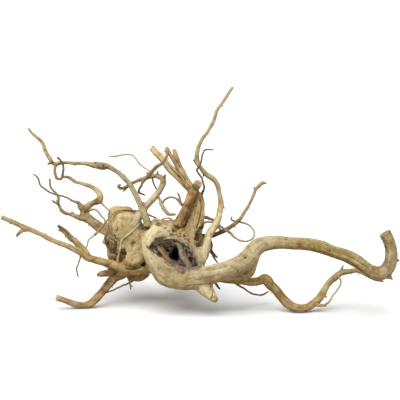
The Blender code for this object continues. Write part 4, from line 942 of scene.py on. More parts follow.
STAINS = [
    # across, down, radius, brown, dark
    (260, 240.6, 5, 0.3, 0), (245, 257, 3.4, 0.5, 0.05), (238, 271.4, 2.6, 0.5, 0), (250, 270, 4.4, 0.3, 0),
    (184, 273, 12, 0.25, 0), (166, 271, 6, 0.3, 0), (299.4, 245, 4, 0.8, 0.1),
    (329.4, 250.6, 2.6, 0.6, 0.1), (350, 256.6, 5, 0.4, 0.05), (286, 239.4, 2, 0.5, 0.05),
    (154, 219.6, 3.6, 0.8, 0.1), (158, 224.6, 4.6, 0.9, 0.35), (166, 222, 5, 0.5, 0.15),
    (175.6, 228.6, 4.4, 0.7, 0.3), (198, 238, 6.4, 0.8, 0.3), (198, 244, 4.4, 0.8, 0.4),
    (206, 227.6, 4, 0.9, 0.7), (204.6, 221, 3, 0.8, 0.3), (188, 256, 5, 0.8, 0.1),
    (187, 246, 4.4, 0.6, 0.15), (193, 259, 3.6, 0.6, 0.05), (123, 254, 6, 0.95, 0.35),
    (117, 228, 2.6, 0.4, 0), (110, 243, 5, 0.4, 0.1), (143.6, 264.6, 4.4, 0.9, 0.6),
    (134, 267.6, 4, 0.8, 0.5), (146, 228, 3.6, 0.6, 0.2), (217.4, 300.6, 4, 0.75, 0),
    (208.6, 279.6, 8, 0.5, 0.05), (189.4, 209, 2.4, 0.9, 0.6), (187.6, 213.6, 2.8, 0.9, 0.65),
    (185, 218.6, 2.8, 0.9, 0.6), (203, 226, 3.4, 0.9, 0.6), (206, 224, 2.6, 0.9, 0.5),
    (190.6, 200, 2.6, 0.7, 0.1), (193, 190.6, 2.6, 0.8, 0.3), (161, 251, 3, 0.6, 0.2),
    (187.4, 254, 3.4, 0.9, 0.2), (190, 260, 3, 0.9, 0.2), (184.6, 247, 3, 0.7, 0.2), (196, 226, 3, 0.4, 0),
    (57.6, 204.6, 1.8, 0.6, 0.7), (60.4, 211, 1.6, 0.5, 0.6), (44, 150, 1.6, 0.5, 0.6),
    (41.4, 141, 1.6, 0.5, 0.5), (47, 156.4, 1.6, 0.6, 0.6), (52.4, 163, 2.4, 0.8, 0.6),
    (107.6, 167, 1.8, 0.4, 0.8), (117, 173, 1.1, 0.4, 0.7), (124.6, 181, 1.1, 0.4, 0.6),
    (84.6, 211.6, 2.4, 0.8, 0.3), (98, 201.4, 2.4, 0.7, 0.2), (220, 203, 3, 0.6, 0),
    (66, 214, 1.6, 0.5, 0.5), (271.6, 283.6, 3, 0.5, 0.2), (108.6, 264, 4, 0.5, 0),
    (103, 291, 5, 0.7, 0.05), (97, 299, 3.6, 0.5, 0), (383.6, 233, 4, 0.3, 0.15),
    (107.4, 278.6, 4.6, 0.7, 0.35), (187.4, 207, 2.4, 0.3, 0.8), (193.6, 187.4, 3, 0.2, 0.8),
    (184.4, 216, 4.4, 0.9, 0.4), (97, 201, 3.4, 0.8, 0.35), (102, 166.6, 4, 0.5, 0.05),
    (219.6, 202, 4, 0.5, 0), (205, 240, 2.4, 0.3, 0), (391.4, 246, 6, 0.2, 0.05), (118, 276, 4, 0.6, 0.2),
]
FURRED = [
    # across, down, radius, strength: where the wood is torn and pitted, not worn smooth
    (181, 234, 9, 1), (175, 229.6, 6, 0.8), (187, 243, 7, 1), (190, 252, 6, 1), (185, 243, 5, 1),
    (197, 262, 6, 0.7), (158, 222.4, 7, 1), (168, 226.6, 6, 0.8), (115, 238.6, 8, 0.7), (117, 250, 8, 0.9),
    (111, 243.6, 6, 0.8), (140, 240, 8, 0.5), (146, 228, 4, 0.8), (203, 226, 6, 0.9), (198, 236, 7, 0.7),
    (134, 266, 8, 0.5), (186, 256, 6, 0.5), (162, 242, 9, 0.4), (135, 256, 7, 0.3),
]
CRACKS = [
    # width, depth, then the way it runs
    (0.7, 0.5, [(332, 250.6), (340, 253.4), (350, 257), (358, 261.6), (364, 266)]),
    (0.5, 0.5, [(186.6, 276.6), (188.6, 275.2), (191, 274.4)]),
    (0.5, 0.6, [(186.6, 286.4), (193, 284.6), (199, 285.2), (207, 284)]),
    (0.4, 0.4, [(196, 279.6), (203, 278.6), (212, 277.4), (220, 273.6)]),
    (0.4, 0.4, [(190, 270.6), (200, 271.4), (212, 270), (222, 267)]),
    (1.1, 1.5, [(213.4, 290), (213, 295), (210.8, 300)]),
    (0.6, 0.8, [(118.6, 221.2), (117.2, 223.6), (116.6, 226), (117.8, 228), (117.2, 230)]),
    (1.0, 1.0, [(117.4, 230), (115.4, 231)]),
    (0.7, 0.7, [(242.8, 256.2), (244.4, 254.6), (247, 255.2), (248, 257)]),
    (0.9, 0.9, [(126, 268.4), (131, 269.4), (137, 269), (142, 266.6), (146, 262)]),
    (0.4, 0.5, [(107, 240.6), (111.4, 240), (113.6, 244), (112.4, 248.6)]),
    (1.0, 1.5, [(197, 228), (199, 222), (201.2, 214), (202, 206), (200, 199)]),
    (0.5, 0.6, [(192, 224), (194.4, 214), (196.4, 204)]),
    (0.8, 1.3, [(171, 152.6), (173.6, 156.6), (176.4, 161.6), (181, 168)]),
    (0.9, 1.4, [(171, 168), (175.6, 173), (180, 178), (186, 184)]),
    (0.8, 1.3, [(177.6, 170.6), (182.4, 176.6), (186, 181)]),
    (0.4, 0.6, [(159.6, 154.6), (166, 162), (172, 168.6)]),
    (0.6, 0.7, [(71, 245.4), (76, 249.4), (81.6, 254)]),
    (0.5, 0.5, [(129, 269.6), (136, 269), (141.6, 267)]),
    (0.4, 0.5, [(186.4, 213), (189.6, 205.6), (192, 199)]),
    (0.8, 1.0, [(97.4, 166.2), (99.6, 168), (103.4, 168.6), (106.8, 167)]),
    (0.5, 0.5, [(98, 165.2), (102, 164.6), (106, 165.6)]),
    (1.1, 1.6, [(146.8, 247), (149, 249.2), (151.6, 250.6), (154.6, 251.4)]),
    (0.7, 0.8, [(164, 262), (168, 265), (172, 266.6), (176, 267.4)]),
]


def eye():
    """Where the photograph's camera stands, in millimetres."""
    return Vector((
        MIDDLE_ACROSS - ORIGIN_ACROSS,
        -ORIGIN_DEPTH - EYE_DISTANCE * math.cos(EYE_RISE),
        MIDDLE_HEIGHT + EYE_DISTANCE * math.sin(EYE_RISE),
    ))


def seen_at(tree, across, down):
    """The first point of the wood that the eye sees there on the drawing, or None."""
    start = eye()
    through, _ = placed(across, down, 0.0)
    place, _, _, _ = tree.ray_cast(start * MM, (through - start).normalized())
    return None if place is None else np.array(place) / MM


def on_wood(tree, marks):
    """The marks that the eye sees, each with its place on the wood instead of the one on the drawing."""
    found = [(seen_at(tree, across, down), *sizes) for across, down, *sizes in marks]
    return [mark for mark in found if mark[0] is not None]


class Marks:
    """The marks' places on the wood's own surface."""

    def __init__(self, mesh):
        tree = surface_of(mesh)
        self.holes, self.stains, self.furred = [on_wood(tree, marks) for marks in (HOLES, STAINS, FURRED)]
        self.cracks = []
        for width, depth, way in CRACKS:
            places = []
            for (x0, y0), (x1, y1) in zip(way, way[1:]):
                count = max(2, round(math.hypot(x1 - x0, y1 - y0) / CRACK_STEP))
                for k in range(count):
                    places.append(seen_at(tree, x0 + (x1 - x0) * k / count, y0 + (y1 - y0) * k / count))
            places = [place for place in places if place is not None]
            if places:
                self.cracks.append((np.array(places), width, depth))

    def sunk(self, points):
        """How deep the holes and cracks sink each point of the wood, in millimetres."""
        sunk = np.zeros(len(points))
        for place, radius, depth in self.holes:
            apart = np.linalg.norm(points - place, axis=1) / radius
            near = apart < 2.2
            bowl = 1 - rising(apart[near], 0.35, 1.15)
            rim = np.exp(-(((apart[near] - 1.45) / 0.32) ** 2))
            sunk[near] += depth * bowl - HOLE_RIM * radius * rim
        for places, width, depth in self.cracks:
            apart = self.apart(points, places)
            sunk += depth * (1 - rising(apart, 0.25 * width, 1.1 * width))
        return sunk

    def tones(self, points):
        """The brown and dark that the marks add at each point."""
        brown, dark = np.zeros(len(points)), np.zeros(len(points))
        blur = noise(points / 2.4, 71) * 0.35
        for place, radius, more_brown, more_dark in self.stains:
            apart = np.linalg.norm(points - place, axis=1) / radius + blur
            here = 1 - rising(apart, 0.45, 1.15)
            brown = np.maximum(brown, here * more_brown)
            dark = np.maximum(dark, here * more_dark)
        for place, radius, _ in self.holes:
            apart = np.linalg.norm(points - place, axis=1) / radius
            dark = np.maximum(dark, (1 - rising(apart, 0.3, 1.05)) * HOLE_DARK)
        for places, width, _ in self.cracks:
            apart = self.apart(points, places)
            dark = np.maximum(dark, (1 - rising(apart, 0.3 * width, width)) * CRACK_DARK)
        return brown, dark

    def fur(self, points):
        """How torn and pitted the wood is at each point."""
        fur = np.zeros(len(points))
        blur = noise(points / 3.4, 77) * 0.3
        for place, radius, strength in self.furred:
            apart = np.linalg.norm(points - place, axis=1) / radius + blur
            fur = np.maximum(fur, strength * (1 - rising(apart, 0.4, 1.2)))
        return fur

    @staticmethod
    def apart(points, places):
        """How far each point is from the nearest of the places."""
        low, high = places.min(axis=0) - CRACK_REACH, places.max(axis=0) + CRACK_REACH
        near = ((points > low) & (points < high)).all(axis=1)
        apart = np.full(len(points), FAR)
        if near.any():
            some = points[near]
            apart[near] = np.sqrt(((some[:, None, :] - places[None, :, :]) ** 2).sum(axis=2).min(axis=1))
        return apart


# The wood

# Lengths are in millimetres, and depths are behind the middle of the burl.
GRAIN_STEP = 2.0  # between the samples of a root's centre line
GRAIN_CHUNK = 3000  # points looked up at a time
ROUTES_APART = 61.7  # between one root's stretch of the grain and the next one's
LUMP_GRAIN = 3.5  # how much shorter the grain's streaks are on the burl's lumps
BLEND = 0.3  # how softly the colours of two roots run into each other, of the root's radius
BLEND_RANGE = (0.25, 1.8)
ON_ROOT = (-2.0, 0.9)  # how far in and out of a root's own radius its surface is looked for
FAR = 9.0  # stands for out of a crack's reach
CRACK_STEP = 0.6  # between the places looked up along a crack
CRACK_REACH = 3.0  # how far from a crack its mark is looked for
HOLE_RIM = 0.2  # height of the swollen rim round a worm hole, of its radius
HOLE_DARK = 0.8
CRACK_DARK = 0.55

BACK_FOLDS = 2.4  # height of the folds that hide the burl's lumps where the photograph doesn't show them
BACK_FILLS = 2.6  # how far the valleys between those lumps have grown full
BACK_REACH = (12.0, 30.0)  # depths between which both come in
SWELLS, THIN_SWELLS = 0.07, 0.05  # how unevenly thick a root is, of its radius, and how much more where thin
FLUTES = 0.09  # height of the flutes along a root, of its radius
KNUCKLES, THIN_KNUCKLES = 0.12, 0.2  # height of the knuckles, of the radius, and how much more where thin
FIBRES = 0.15  # height of the fibres
GRAIN_CRACKS = 0.45  # depth of the fine cracks that run with the grain
KNOBS = 0.45  # height of the knobs on the burl and the thickest roots
TEARS = 0.16  # height of the roughness that all but the rootlets have
FUR_TEARS, FUR_PORES = 0.6, 0.5  # height of the torn wood's tears, and depth of its pores

BURL_STEP = 2.0  # between points along the burl's roots
ROOT_STEP = 1.6
ROOTLET_STEP = 1.3
BURL_GRAIN = 0.9  # voxel of the burl's first skin
BURL_ROUNDS = 34  # rounds that soften it
WOOD_GRAIN = 0.62  # voxel of the skin over the burl and the roots together
HOLLOW_GRAIN = 0.8  # voxel of the rooms that are cut out
WOOD_TRIANGLES = 172000  # what the skin is thinned to before the rootlets grow onto it
SPUR_SEED = 4
BOX_MARGIN = 0.01  # the fine wood stays this far inside the solid's box

HOLLOW_SKIN = 1.6  # depth of the wood that rot has greyed
HOLLOW_FRINGE = 3.6  # how far round the hollow the wood is stained, most on its torn right
HOLLOW_STAIN = 0.55  # how dark the grey wood is outside the hollow and on its front edge
HOLLOW_EDGE = (-23.0, -18.0)  # depths between which that front edge ends
HOLLOW_DIM = -8.0  # depth from which the hollow is painted darker, as painted shade
HOLLOW_BLACK = 1.0  # and where that painted shade is black
RELIEF_ROUNDS = 10  # how widely a ridge or a groove is told from the wood round it
RELIEF_HEIGHT = 0.35  # how far a ridge stands out that is painted palest, partly rubbed and partly painted highlight; a groove as deep gets the most painted shade
# roots that were sawn or snapped off, and how far short of their route's end
CUT_ENDS = {
    "rim_and_limb": 2.6, "long_lower_root": 0.3, "left_hook_root": 0.3, "cut_stub": 0.3, "split_left": 0.3,
    "split_middle": 0.3, "split_right": 0.3, "brown_stub": 0.3, "arch_root": 0.3,
}


def burl_mesh(rooms):
    lines = [(name, lengthened(name, smooth(route, BURL_STEP))) for name, route in BURL_ROOTS.items()]
    pieces = [tube(name, line, 20) for name, line in lines]
    pieces += [lump(name, *sizes) for name, sizes in BURL_LUMPS.items()]
    burl = skinned(joined("burl", pieces), BURL_GRAIN, BURL_ROUNDS)
    for room in rooms:
        combined(burl, "DIFFERENCE", room)
    return burl


def room_mesh(name, pieces):
    """A room in the wood, with the ragged walls that rot left."""
    room = skinned(joined(name, pieces), HOLLOW_GRAIN, 3)
    points, normals = points_of(room.data), normals_of(room.data)
    ragged = rough(points * (0.10, 0.05, 0.22), 3, 11) + rough(points / 4.2, 2, 12) * 0.8
    move_points(room.data, points + normals * ragged[:, None])
    return room


def lengthened(name, rows):
    """The rows with the far end of a sawn or snapped root drawn on, to be cut off flat later."""
    if name not in CUT_ENDS:
        return rows
    on = rows[-1] - rows[-2]
    on[:3] *= 0.8 * rows[-1, 3] / np.linalg.norm(on[:3])
    on[3] = 0
    return np.concatenate((rows, [rows[-1] + on]))


def cut_flat(points):
    """Cuts the sawn and snapped roots off flat at their ends, a little unevenly."""
    for name, short in CUT_ENDS.items():
        rows = smooth(BURL_ROOTS[name] if name in BURL_ROOTS else ROOTS[name], ROOT_STEP)
        end, way = rows[-1, :3], rows[-1, :3] - rows[-3, :3]
        way /= np.linalg.norm(way)
        off = points - (end - way * short)
        beyond = off @ way
        aside = np.linalg.norm(off - beyond[:, None] * way, axis=1)
        ragged = 0.35 * noise(points / 1.7, 63)
        near = (aside < 1.7 * rows[-1, 3]) & (beyond < 2 * rows[-1, 3])
        over = np.where(near, np.maximum(beyond - ragged, 0), 0)
        points = points - over[:, None] * way
    return points


def pressed_flat(points):
    """The block's old saw cuts and broken faces: what stands out past each plane is pressed back to it."""
    for across, down, depth, way, reach in FLATS:
        place, _ = placed(across, down, depth)
        way = np.array(way) / np.linalg.norm(way)
        off = points - np.array(place)
        beyond = off @ way
        near = 1 - rising(np.linalg.norm(off - beyond[:, None] * way, axis=1), 0.45 * reach, 1.3 * reach)
        over = np.where(beyond < reach, np.maximum(beyond - 0.4 * noise(points / 6, 64), 0), 0)
        points = points - (0.9 * over * near)[:, None] * way
    return points


def root_mesh(name, route, grain_seed):
    """One root, a little uneven in thickness along its way."""
    rows = smooth(route, ROOT_STEP)
    run = run_of(rows)
    reach = np.maximum(rows[:, 3].mean() * 2.2, 3.0)
    inside = rising(run, 2.0, 9.0)
    for axis in range(3):
        ways = own_ways(run / reach / 1.3, grain_seed * 7.3, axis * 5.1)
        rows[:, axis] += 0.16 * rows[:, 3] * noise(ways, 6) * inside
    ways = own_ways(run / reach, grain_seed * 7.3, 0.0)
    rows[:, 3] *= 1 + 0.1 * noise(ways * 0.7, 5) + 0.16 * rising(noise(ways * 0.8, 7), 0.5, 0.9)
    return tube(name, lengthened(name, rows), 14)


def rootlet_mesh(name, route, seed):
    """A wiry rootlet: kinked, knotty and drawn out to a point."""
    rows = smooth(route, ROOTLET_STEP)
    run = run_of(rows)
    for axis in range(3):
        ways = own_ways(run / 5.5, seed * 3.7, axis * 9.1)
        sway = noise(ways, 23) * 0.45 + noise(ways * 2.3, 24) * 0.18
        rows[:, axis] += sway * rising(run, 1.0, 5.0) * rising(run[-1] - run, -0.5, 3.0)
    ways = own_ways(run / 2.6, seed * 5.9, 0.0)
    rows[:, 3] *= 1.1 + 0.22 * noise(ways, 29)
    rows[:, 3] *= 0.45 + 0.55 * rising(run[-1] - run, -0.6, 2.2)
    return tube(name, rows, 8)


def spurs():
    """Stubs of broken rootlets, scattered over the roots."""
    random = np.random.default_rng(SPUR_SEED)
    pieces = []
    for name, route in ROOTS.items():
        rows = smooth(route, 1.0)
        place = random.uniform(9, 22)
        while place < len(rows) - 4:
            x, y, z, radius = rows[int(place)]
            way = rows[int(place) + 1, :3] - rows[int(place) - 1, :3]
            way /= np.linalg.norm(way)
            out = np.cross(way, random.normal(size=3))
            out = out / np.linalg.norm(out) + 0.5 * way
            length, thick = random.uniform(0.9, 2.6), random.uniform(0.35, 0.75)
            foot = np.array((x, y, z)) + out * radius * 0.5
            steps = np.linspace(0, 1, 4)
            reach = out * (0.5 * radius + length)
            stub = np.stack([foot + reach * t + random.normal(size=3) * 0.12 for t in steps])
            width = thick * (1.5 - steps * 0.9)
            if stub[:, 2].min() > 1.5 and radius > 1.2:
                pieces.append(tube(name + "_spur", np.column_stack((stub, width)), 6))
            place += random.uniform(14, 34)
    return pieces


def grain_relief(points, found, flow, gap, fur, grain):
    """How far the wood stands out from the plain skin at each point, in millimetres."""
    radius = np.maximum(grain.line[found, 3].astype(np.float64), 1.0)
    size = grain.size[found]
    apart = rising(gap, 0.2, 3.0) * grain.grown_along[found]
    along, a, b = flow.T
    heavy = rising(radius, 4.5, 10.0)
    thin = 1 - rising(radius, 2.5, 5.0)
    swell = noise(np.stack((along / (4.6 * size), a / size * 0.7, b / size * 0.7), axis=1), 31)
    flute = noise(np.stack((along / (9 * size), a / size * 1.6, b / size * 1.6), axis=1), 32)
    knuckle = noise(np.stack((along / (3.2 * size), a / size * 0.9, b / size * 0.9), axis=1), 40)
    knuckle = rising(knuckle, 0.5, 0.95)
    fibre = noise(np.stack((along / 17, a / 1.7, b / 1.7), axis=1), 33)
    split = np.abs(noise(np.stack((along / 26, a / 3.1, b / 3.1), axis=1), 35))
    worn = noise(points / 17, 36)
    knobs = rough(points / 9.5, 3, 37)
    torn = rough(points / 3.2, 2, 38)
    pores = rising(noise(points / 1.5, 39), 0.4, 0.8)
    swell *= SWELLS + THIN_SWELLS * thin
    knuckle *= KNUCKLES + THIN_KNUCKLES * thin
    relief = apart * radius * (swell + FLUTES * flute + knuckle)
    relief += apart * FIBRES * fibre * rising(radius, 0.8, 2.5)
    cracks = apart * GRAIN_CRACKS * (1 - rising(split, 0.0, 0.07))
    relief -= cracks * rising(worn, 0.0, 0.4) * rising(radius, 1.5, 4.0)
    relief += KNOBS * heavy * knobs + TEARS * rising(radius, 1.5, 5.0) * torn
    behind = heavy * rising(points[:, 1] + ORIGIN_DEPTH, *BACK_REACH)
    folds = rough(points * (0.06, 0.06, 0.035), 2, 41)
    folds += 0.5 * np.abs(rough(points * (0.14, 0.14, 0.07), 2, 42))
    relief += behind * (BACK_FOLDS * folds + BACK_FILLS * (1 - rising(gap, 0.0, 7.0)))
    relief += fur * (FUR_TEARS * torn - FUR_PORES * pores)
    return relief


def wood_mesh():
    """The whole root in one skin, with its grain, marks and rootlets, and what tells its tones."""
    grain = Grain()
    holes = {name: tube(name, smooth(route, BURL_STEP), 16) for name, route in HOLLOW_ROOTS.items()}
    heart = room_mesh("heart", [loft("heart_room", HOLLOW), holes.pop("left_pit")])
    heart_tree = surface_of(heart.data)
    pieces = [burl_mesh((heart, room_mesh("pits", list(holes.values()))))]
    pieces += [root_mesh(name, route, i) for i, (name, route) in enumerate(ROOTS.items())]
    wood = joined("spiderwood", pieces)
    wood = skinned(wood, WOOD_GRAIN, 3)
    points = pressed_flat(points_of(wood.data))
    move_points(wood.data, points)
    marks = Marks(wood.data)
    normals = normals_of(wood.data)
    found, flow, gap = grain.locate(points)
    relief = grain_relief(points, found, flow, gap, marks.fur(points), grain) - marks.sunk(points)
    grown = cut_flat(points + normals * relief[:, None])
    grown[:, 2] = np.maximum(grown[:, 2], 0.0)
    move_points(wood.data, grown)
    thinned(wood, WOOD_TRIANGLES)
    thin = [rootlet_mesh(name, route, i) for i, (name, route) in enumerate(ROOTLETS.items())]
    rootlets = joined("rootlets", thin + spurs())
    wood = combined(wood, "UNION", rootlets)
    low, high = (np.array(corner) / MM for corner in cad_box)
    move_points(wood.data, np.clip(points_of(wood.data), low + BOX_MARGIN, high - BOX_MARGIN))
    tell_tones(wood.data, grain, marks, heart_tree)
    wood.data.shade_smooth()
    return wood


def fringe_side():
    """Where across the hollow its torn right side begins, in millimetres."""
    return placed(176, 250, -20)[0].x


def tell_tones(mesh, grain, marks, heart_tree):
    """Stores, on the wood's points, what its material reads: the grain's run, the tones with the painted
    shade of the undersides and the deep hollow, how far each point stands out, for painted highlight and
    shade, and how torn it is.
    """
    points, normals = points_of(mesh), normals_of(mesh)
    found, flow, _ = grain.locate(points)
    skin = grain.tones(points)
    dark = skin[:, 3].copy()
    radius = grain.line[found, 3]
    thin = 1 - rising(radius, 1.5, 4.5)
    knot_ways = np.stack((flow[:, 0] / 4.4, flow[:, 1] / 3, flow[:, 2] / 3), axis=1)
    blotch = 0.35 * rising(noise(points / 13, 52), 0.2, 0.7)
    brown = thin * (0.65 * rising(noise(knot_ways, 51), 0.2, 0.7) + blotch)
    dark += 0.7 * rising(noise(knot_ways, 53), 0.5, 0.9) * thin
    apart = np.full(len(points), HOLLOW_FRINGE)
    for i, point in enumerate(points):
        _, _, _, distance = heart_tree.find_nearest(point * MM, HOLLOW_FRINGE * MM)
        if distance is not None:
            apart[i] = distance / MM
    torn_side = rising(points[:, 0] - fringe_side(), -6.0, 6.0)
    reach = np.maximum(HOLLOW_SKIN * (0.3 + 1.2 * torn_side + 0.7 * noise(points / 4, 54)), 0.3)
    grey = 1 - rising(apart, 0.4 * reach, reach)
    outer = np.maximum(rising(apart, 0.15, 0.5), 1 - rising(points[:, 1] + ORIGIN_DEPTH, *HOLLOW_EDGE))
    dark = np.maximum(dark, HOLLOW_STAIN * grey * outer)
    fringe = 1 - rising(apart + noise(points / 3, 55), 0.5 * HOLLOW_FRINGE, HOLLOW_FRINGE)
    brown = np.maximum(brown, (0.25 + 0.5 * torn_side) * fringe)
    # painted shade: the grey wood deep in the hollow is painted darker the further back it lies, black at the
    # back
    dark = np.maximum(dark, grey * rising(points[:, 1] + ORIGIN_DEPTH, HOLLOW_DIM, HOLLOW_BLACK))
    for name, (code, rot) in IN_HOLLOW.items():
        here = grain.on_root(points, name)
        skin[here, :3] = linear(code)[:3]
        grey[here], dark[here] = rot, 0.0
    more_brown, more_dark = marks.tones(points)
    brown = np.maximum(brown, more_brown)
    dark = np.maximum(dark, more_dark)
    # how far each point stands out from the wood round it: ridges are painted paler, partly rubbed and partly
    # painted highlight, and grooves darker, as painted shade
    mean = neighbour_mean(mesh, points, RELIEF_ROUNDS)
    worn = ((points - mean) * normals).sum(axis=1) / RELIEF_HEIGHT
    # painted shade: the more a point faces down, the darker and browner its wood is painted
    under = rising(-normals[:, 2], -0.2, 0.7)
    colours = neighbour_mean(mesh, np.stack((brown, dark, grey, under), axis=1), 1)
    worn = np.stack((np.clip(worn, -1, 1), marks.fur(points), np.zeros(len(points))), axis=1)
    skin[:, 3] = 1.0
    for name, kind, field, values in (
        ("tone", "FLOAT_COLOR", "color", colours), ("skin", "FLOAT_COLOR", "color", skin),
        ("flow", "FLOAT_VECTOR", "vector", flow), ("wear_shade_and_fur", "FLOAT_VECTOR", "vector", worn),
    ):
        stored = mesh.attributes.new(name, kind, "POINT")
        stored.data.foreach_set(field, values.astype(np.float32).ravel())


# Materials

def node(tree, kind, inputs=None, **settings):
    """Adds a node with its settings; each input is a value or another node's output."""
    made = tree.nodes.new(kind)
    for key, value in settings.items():
        setattr(made, key, value)
    for key, value in (inputs or {}).items():
        if isinstance(value, bpy.types.NodeSocket):
            tree.links.new(value, made.inputs[key])
        else:
            made.inputs[key].default_value = value
    return made


def layered(tree, colour, layers):
    """The colour that the layers leave, one over the other."""
    for where, low, high, most, kind, shade in layers:
        settings = {"Value": where, "From Min": low, "From Max": high, "To Max": most}
        share = node(tree, "ShaderNodeMapRange", settings).outputs[0]
        colours = {0: share, 6: colour, 7: shade}
        colour = node(tree, "ShaderNodeMix", colours, data_type="RGBA", blend_type=kind).outputs[2]
    return colour


def peeled_root_wood():
    """Barkless azalea root, dry and matt: pale ridges, partly rubbed and partly painted highlight; brown
    stains; fibres along it; dark cracks; and painted shade in its grooves, deep in its hollow and on its
    undersides.
    """
    material = bpy.data.materials.new("peeled_root_wood")
    material.use_nodes = True
    tree = material.node_tree
    surface = tree.nodes["Principled BSDF"]
    place = node(tree, "ShaderNodeTexCoord").outputs["Object"]
    skin = node(tree, "ShaderNodeAttribute", attribute_name="skin").outputs["Color"]
    flow = node(tree, "ShaderNodeAttribute", attribute_name="flow").outputs["Vector"]
    tone = node(tree, "ShaderNodeAttribute", attribute_name="tone")
    tones = node(tree, "ShaderNodeSeparateColor", {"Color": tone.outputs["Color"]}).outputs
    wear_shade_and_fur = node(tree, "ShaderNodeAttribute", attribute_name="wear_shade_and_fur").outputs["Vector"]
    wear_shade_and_fur_parts = node(tree, "ShaderNodeSeparateXYZ", {"Vector": wear_shade_and_fur}).outputs

    # noise drawn out along the fibres: its length and width in millimetres, and its detail
    run = {}
    for name, along, across, detail in (
        ("bands", 34.0, 3.4, 2.0), ("fibres", 12.0, 1.3, 3.0), ("rot", 12.0, 2.2, 2.0),
    ):
        scale = (1 / along, 1 / across, 1 / across)
        drawn = node(tree, "ShaderNodeMapping", {"Vector": flow, "Scale": scale}).outputs[0]
        settings = {"Vector": drawn, "Scale": 1.0, "Detail": detail}
        run[name] = node(tree, "ShaderNodeTexNoise", settings).outputs["Fac"]
    # noise in blots: their size in millimetres, and its detail
    blots = {}
    for name, size, detail in (
        ("weather", 15.0, 2.0), ("ash", 22.0, 2.0), ("rot", 9.0, 2.0), ("specks", 12.0, 1.0),
        ("mottle", 6.5, 4.0), ("pits", 2.4, 3.0), ("tufts", 2.0, 4.0), ("pores", 1.3, 3.0),
    ):
        settings = {"Vector": place, "Scale": 1 / (size * MM), "Detail": detail}
        blots[name] = node(tree, "ShaderNodeTexNoise", settings).outputs["Fac"]
    # worm holes, a few millimetres apart
    settings = {"Vector": place, "Scale": 1 / (4.2 * MM), "Randomness": 1.0}
    cells = node(tree, "ShaderNodeTexVoronoi", settings).outputs["Distance"]

    # a mark that shows only where another value lets it: the first value's range, then the second's
    masks = {}
    for name, first, low, high, second, near, far in (
        ("specks", cells, 0.17, 0.07, blots["specks"], 0.48, 0.58),
        ("stains", tones["Red"], 0.0, 1.0, run["bands"], 0.1, 0.55),
        ("flecks", wear_shade_and_fur_parts["Y"], 0.0, 1.0, blots["tufts"], 0.5, 0.38),
        ("tufts", wear_shade_and_fur_parts["Y"], 0.0, 1.0, blots["tufts"], 0.54, 0.66),
        # the dark of tips, knots, holes, cracks and stains, and the painted shade deep in the hollow
        ("dark_marks_and_shade", tones["Green"], 0.0, 1.0, run["fibres"], 1.1, 0.2),
    ):
        one, other = [
            node(tree, "ShaderNodeMapRange", {"Value": value, "From Min": start, "From Max": end}).outputs[0]
            for value, start, end in ((first, low, high), (second, near, far))
        ]
        masks[name] = node(tree, "ShaderNodeMath", {0: one, 1: other}, operation="MULTIPLY").outputs[0]

    # each layer over the ones before it: what tells where, the values between which it comes in, its most,
    # how it mixes, and its colour; first the rotted wood of the hollow, then the wood as a whole
    rot_layers = (
        (run["rot"], 0.4, 0.62, 1.0, "MIX", linear(ROT_PURPLE)),
        (blots["rot"], 0.54, 0.66, 0.7, "MIX", linear(ROT_BROWN)),
        (blots["pits"], 0.38, 0.28, 0.3, "MIX", linear(SOIL_AND_SHADE)),
    )
    rotted = layered(tree, linear(ROT_GREY), rot_layers)
    wood_layers = (
        (run["bands"], 0.54, 0.72, 0.3, "MIX", linear(PALE)),
        (run["bands"], 0.48, 0.32, 0.4, "MIX", linear(OLIVE)),
        (blots["mottle"], 0.54, 0.66, 0.2, "MIX", linear(PALE)),
        (blots["weather"], 0.54, 0.7, 0.2, "MIX", linear(OCHRE)),
        (blots["ash"], 0.42, 0.3, 0.3, "MIX", linear(ASH)),
        (masks["stains"], 0.0, 0.6, 0.95, "MIX", linear(BROWN)),
        (masks["stains"], 0.5, 1.0, 1.0, "MIX", linear(HEARTWOOD)),
        (run["fibres"], 0.46, 0.3, 0.5, "MIX", linear(STREAK)),
        (blots["mottle"], 0.46, 0.34, 0.45, "MIX", linear(STREAK)),
        (blots["pits"], 0.38, 0.27, 0.6, "MIX", linear(STREAK)),
        (masks["specks"], 0.0, 1.0, 0.85, "MIX", linear(SOIL_AND_SHADE)),
        (masks["flecks"], 0.0, 1.0, 0.75, "MIX", linear(DUN)),
        (masks["tufts"], 0.0, 1.0, 0.6, "MIX", linear(PALE)),
        # ridges paler: partly rubbed wood, partly painted highlight
        (wear_shade_and_fur_parts["X"], 0.4, 1.2, 0.3, "MIX", linear(PALE)),
        (tones["Blue"], 0.0, 1.0, 1.0, "MIX", rotted),
        # painted shade on the undersides: the wood multiplied darker and browner the more it faces down
        (tone.outputs["Alpha"], 0.0, 1.0, 0.7, "MULTIPLY", linear(UNDERSIDE_SHADE)),
        # painted shade in the grooves, darkest where they sink deepest
        (wear_shade_and_fur_parts["X"], -0.2, -1.0, 0.75, "MIX", linear(SOIL_AND_SHADE)),
        # dark marks, and the painted shade deep in the hollow, turned towards near black
        (masks["dark_marks_and_shade"], 0.0, 0.9, 1.0, "MIX", linear(DEEP_DARK_AND_SHADE)),
    )
    colour = layered(tree, skin, wood_layers)

    settings = {"Value": run["fibres"], "From Min": 0.3, "From Max": 0.7, "To Min": 0.95, "To Max": 0.8}
    sheen = node(tree, "ShaderNodeMapRange", settings).outputs[0]
    grooves = node(tree, "ShaderNodeMath", {0: run["fibres"], 1: blots["pores"]}, operation="ADD").outputs[0]
    settings = {"Strength": 0.5, "Distance": 0.35 * MM, "Height": grooves}
    bump = node(tree, "ShaderNodeBump", settings).outputs[0]
    for key, value in (("Base Color", colour), ("Roughness", sheen), ("Normal", bump)):
        tree.links.new(value, surface.inputs[key])
    surface.inputs["Specular IOR Level"].default_value = 0.15
    return material


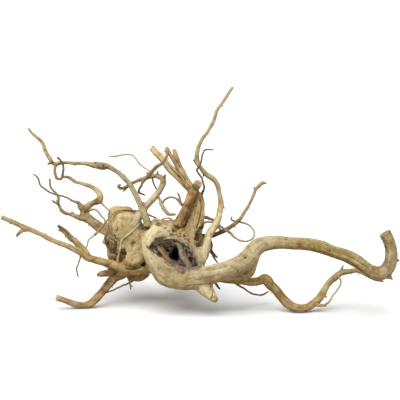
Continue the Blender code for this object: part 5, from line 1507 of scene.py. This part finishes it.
def studio_floor():
    """Matt white paper under the root."""
    material = bpy.data.materials.new("matt_white_paper")
    material.use_nodes = True
    tree = material.node_tree
    surface = tree.nodes["Principled BSDF"]
    grain = node(tree, "ShaderNodeTexNoise", {"Scale": 900.0, "Detail": 1.0})
    surface.inputs["Base Color"].default_value = linear("#e9e9e8")
    surface.inputs["Roughness"].default_value = 0.95
    settings = {"Strength": 0.02, "Distance": 0.1 * MM, "Height": grain.outputs["Fac"]}
    bump = node(tree, "ShaderNodeBump", settings)
    tree.links.new(bump.outputs["Normal"], surface.inputs["Normal"])
    return material


# The studio

FLOOR_RADIUS = 6.0  # metres
FLOOR_DROP = 0.0004  # metres under the root's feet, so that the two never flicker
SKY_STRENGTH = 0.48


def make_floor():
    bm = bmesh.new()
    bmesh.ops.create_circle(bm, cap_ends=True, segments=96, radius=FLOOR_RADIUS)
    bmesh.ops.translate(bm, verts=bm.verts, vec=(0, 0, -FLOOR_DROP))
    floor = mesh_object("paper_floor", bm)
    floor.data.materials.append(studio_floor())


def make_sun(name, direction, power, spread):
    """A far light that shines that way, as wide as its spread in degrees."""
    sun = bpy.data.lights.new(name, "SUN")
    sun.energy = power
    sun.angle = math.radians(spread)
    new_object(name, sun).rotation_euler = Vector(direction).to_track_quat("-Z", "Y").to_euler()


def make_studio():
    scene = bpy.context.scene
    world = bpy.data.worlds.new("studio")
    world.use_nodes = True
    world.node_tree.nodes["Background"].inputs["Color"].default_value = (1, 1, 1, 1)
    world.node_tree.nodes["Background"].inputs["Strength"].default_value = SKY_STRENGTH
    scene.world = world
    scene.view_settings.view_transform = "Standard"
    make_sun("softbox_above", (0.2, 0.4, -1.3), 3.1, 60)
    make_sun("lamp_left", (0.9, 0.8, -0.8), 0.6, 30)
    camera = bpy.data.cameras.new("camera")
    camera.sensor_width = 36
    camera.lens = camera.sensor_width * EYE_DISTANCE / DRAWING_WIDTH
    camera.clip_start = 0.05
    scene.camera = new_object("camera", camera)
    scene.camera.location = eye() * MM
    scene.camera.rotation_euler = (math.radians(90) - EYE_RISE, 0, 0)


wood = wood_mesh()
wood.data.materials.clear()
wood.data.materials.append(peeled_root_wood())
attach(wood, "root")
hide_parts(NODE)
make_floor()
make_studio()
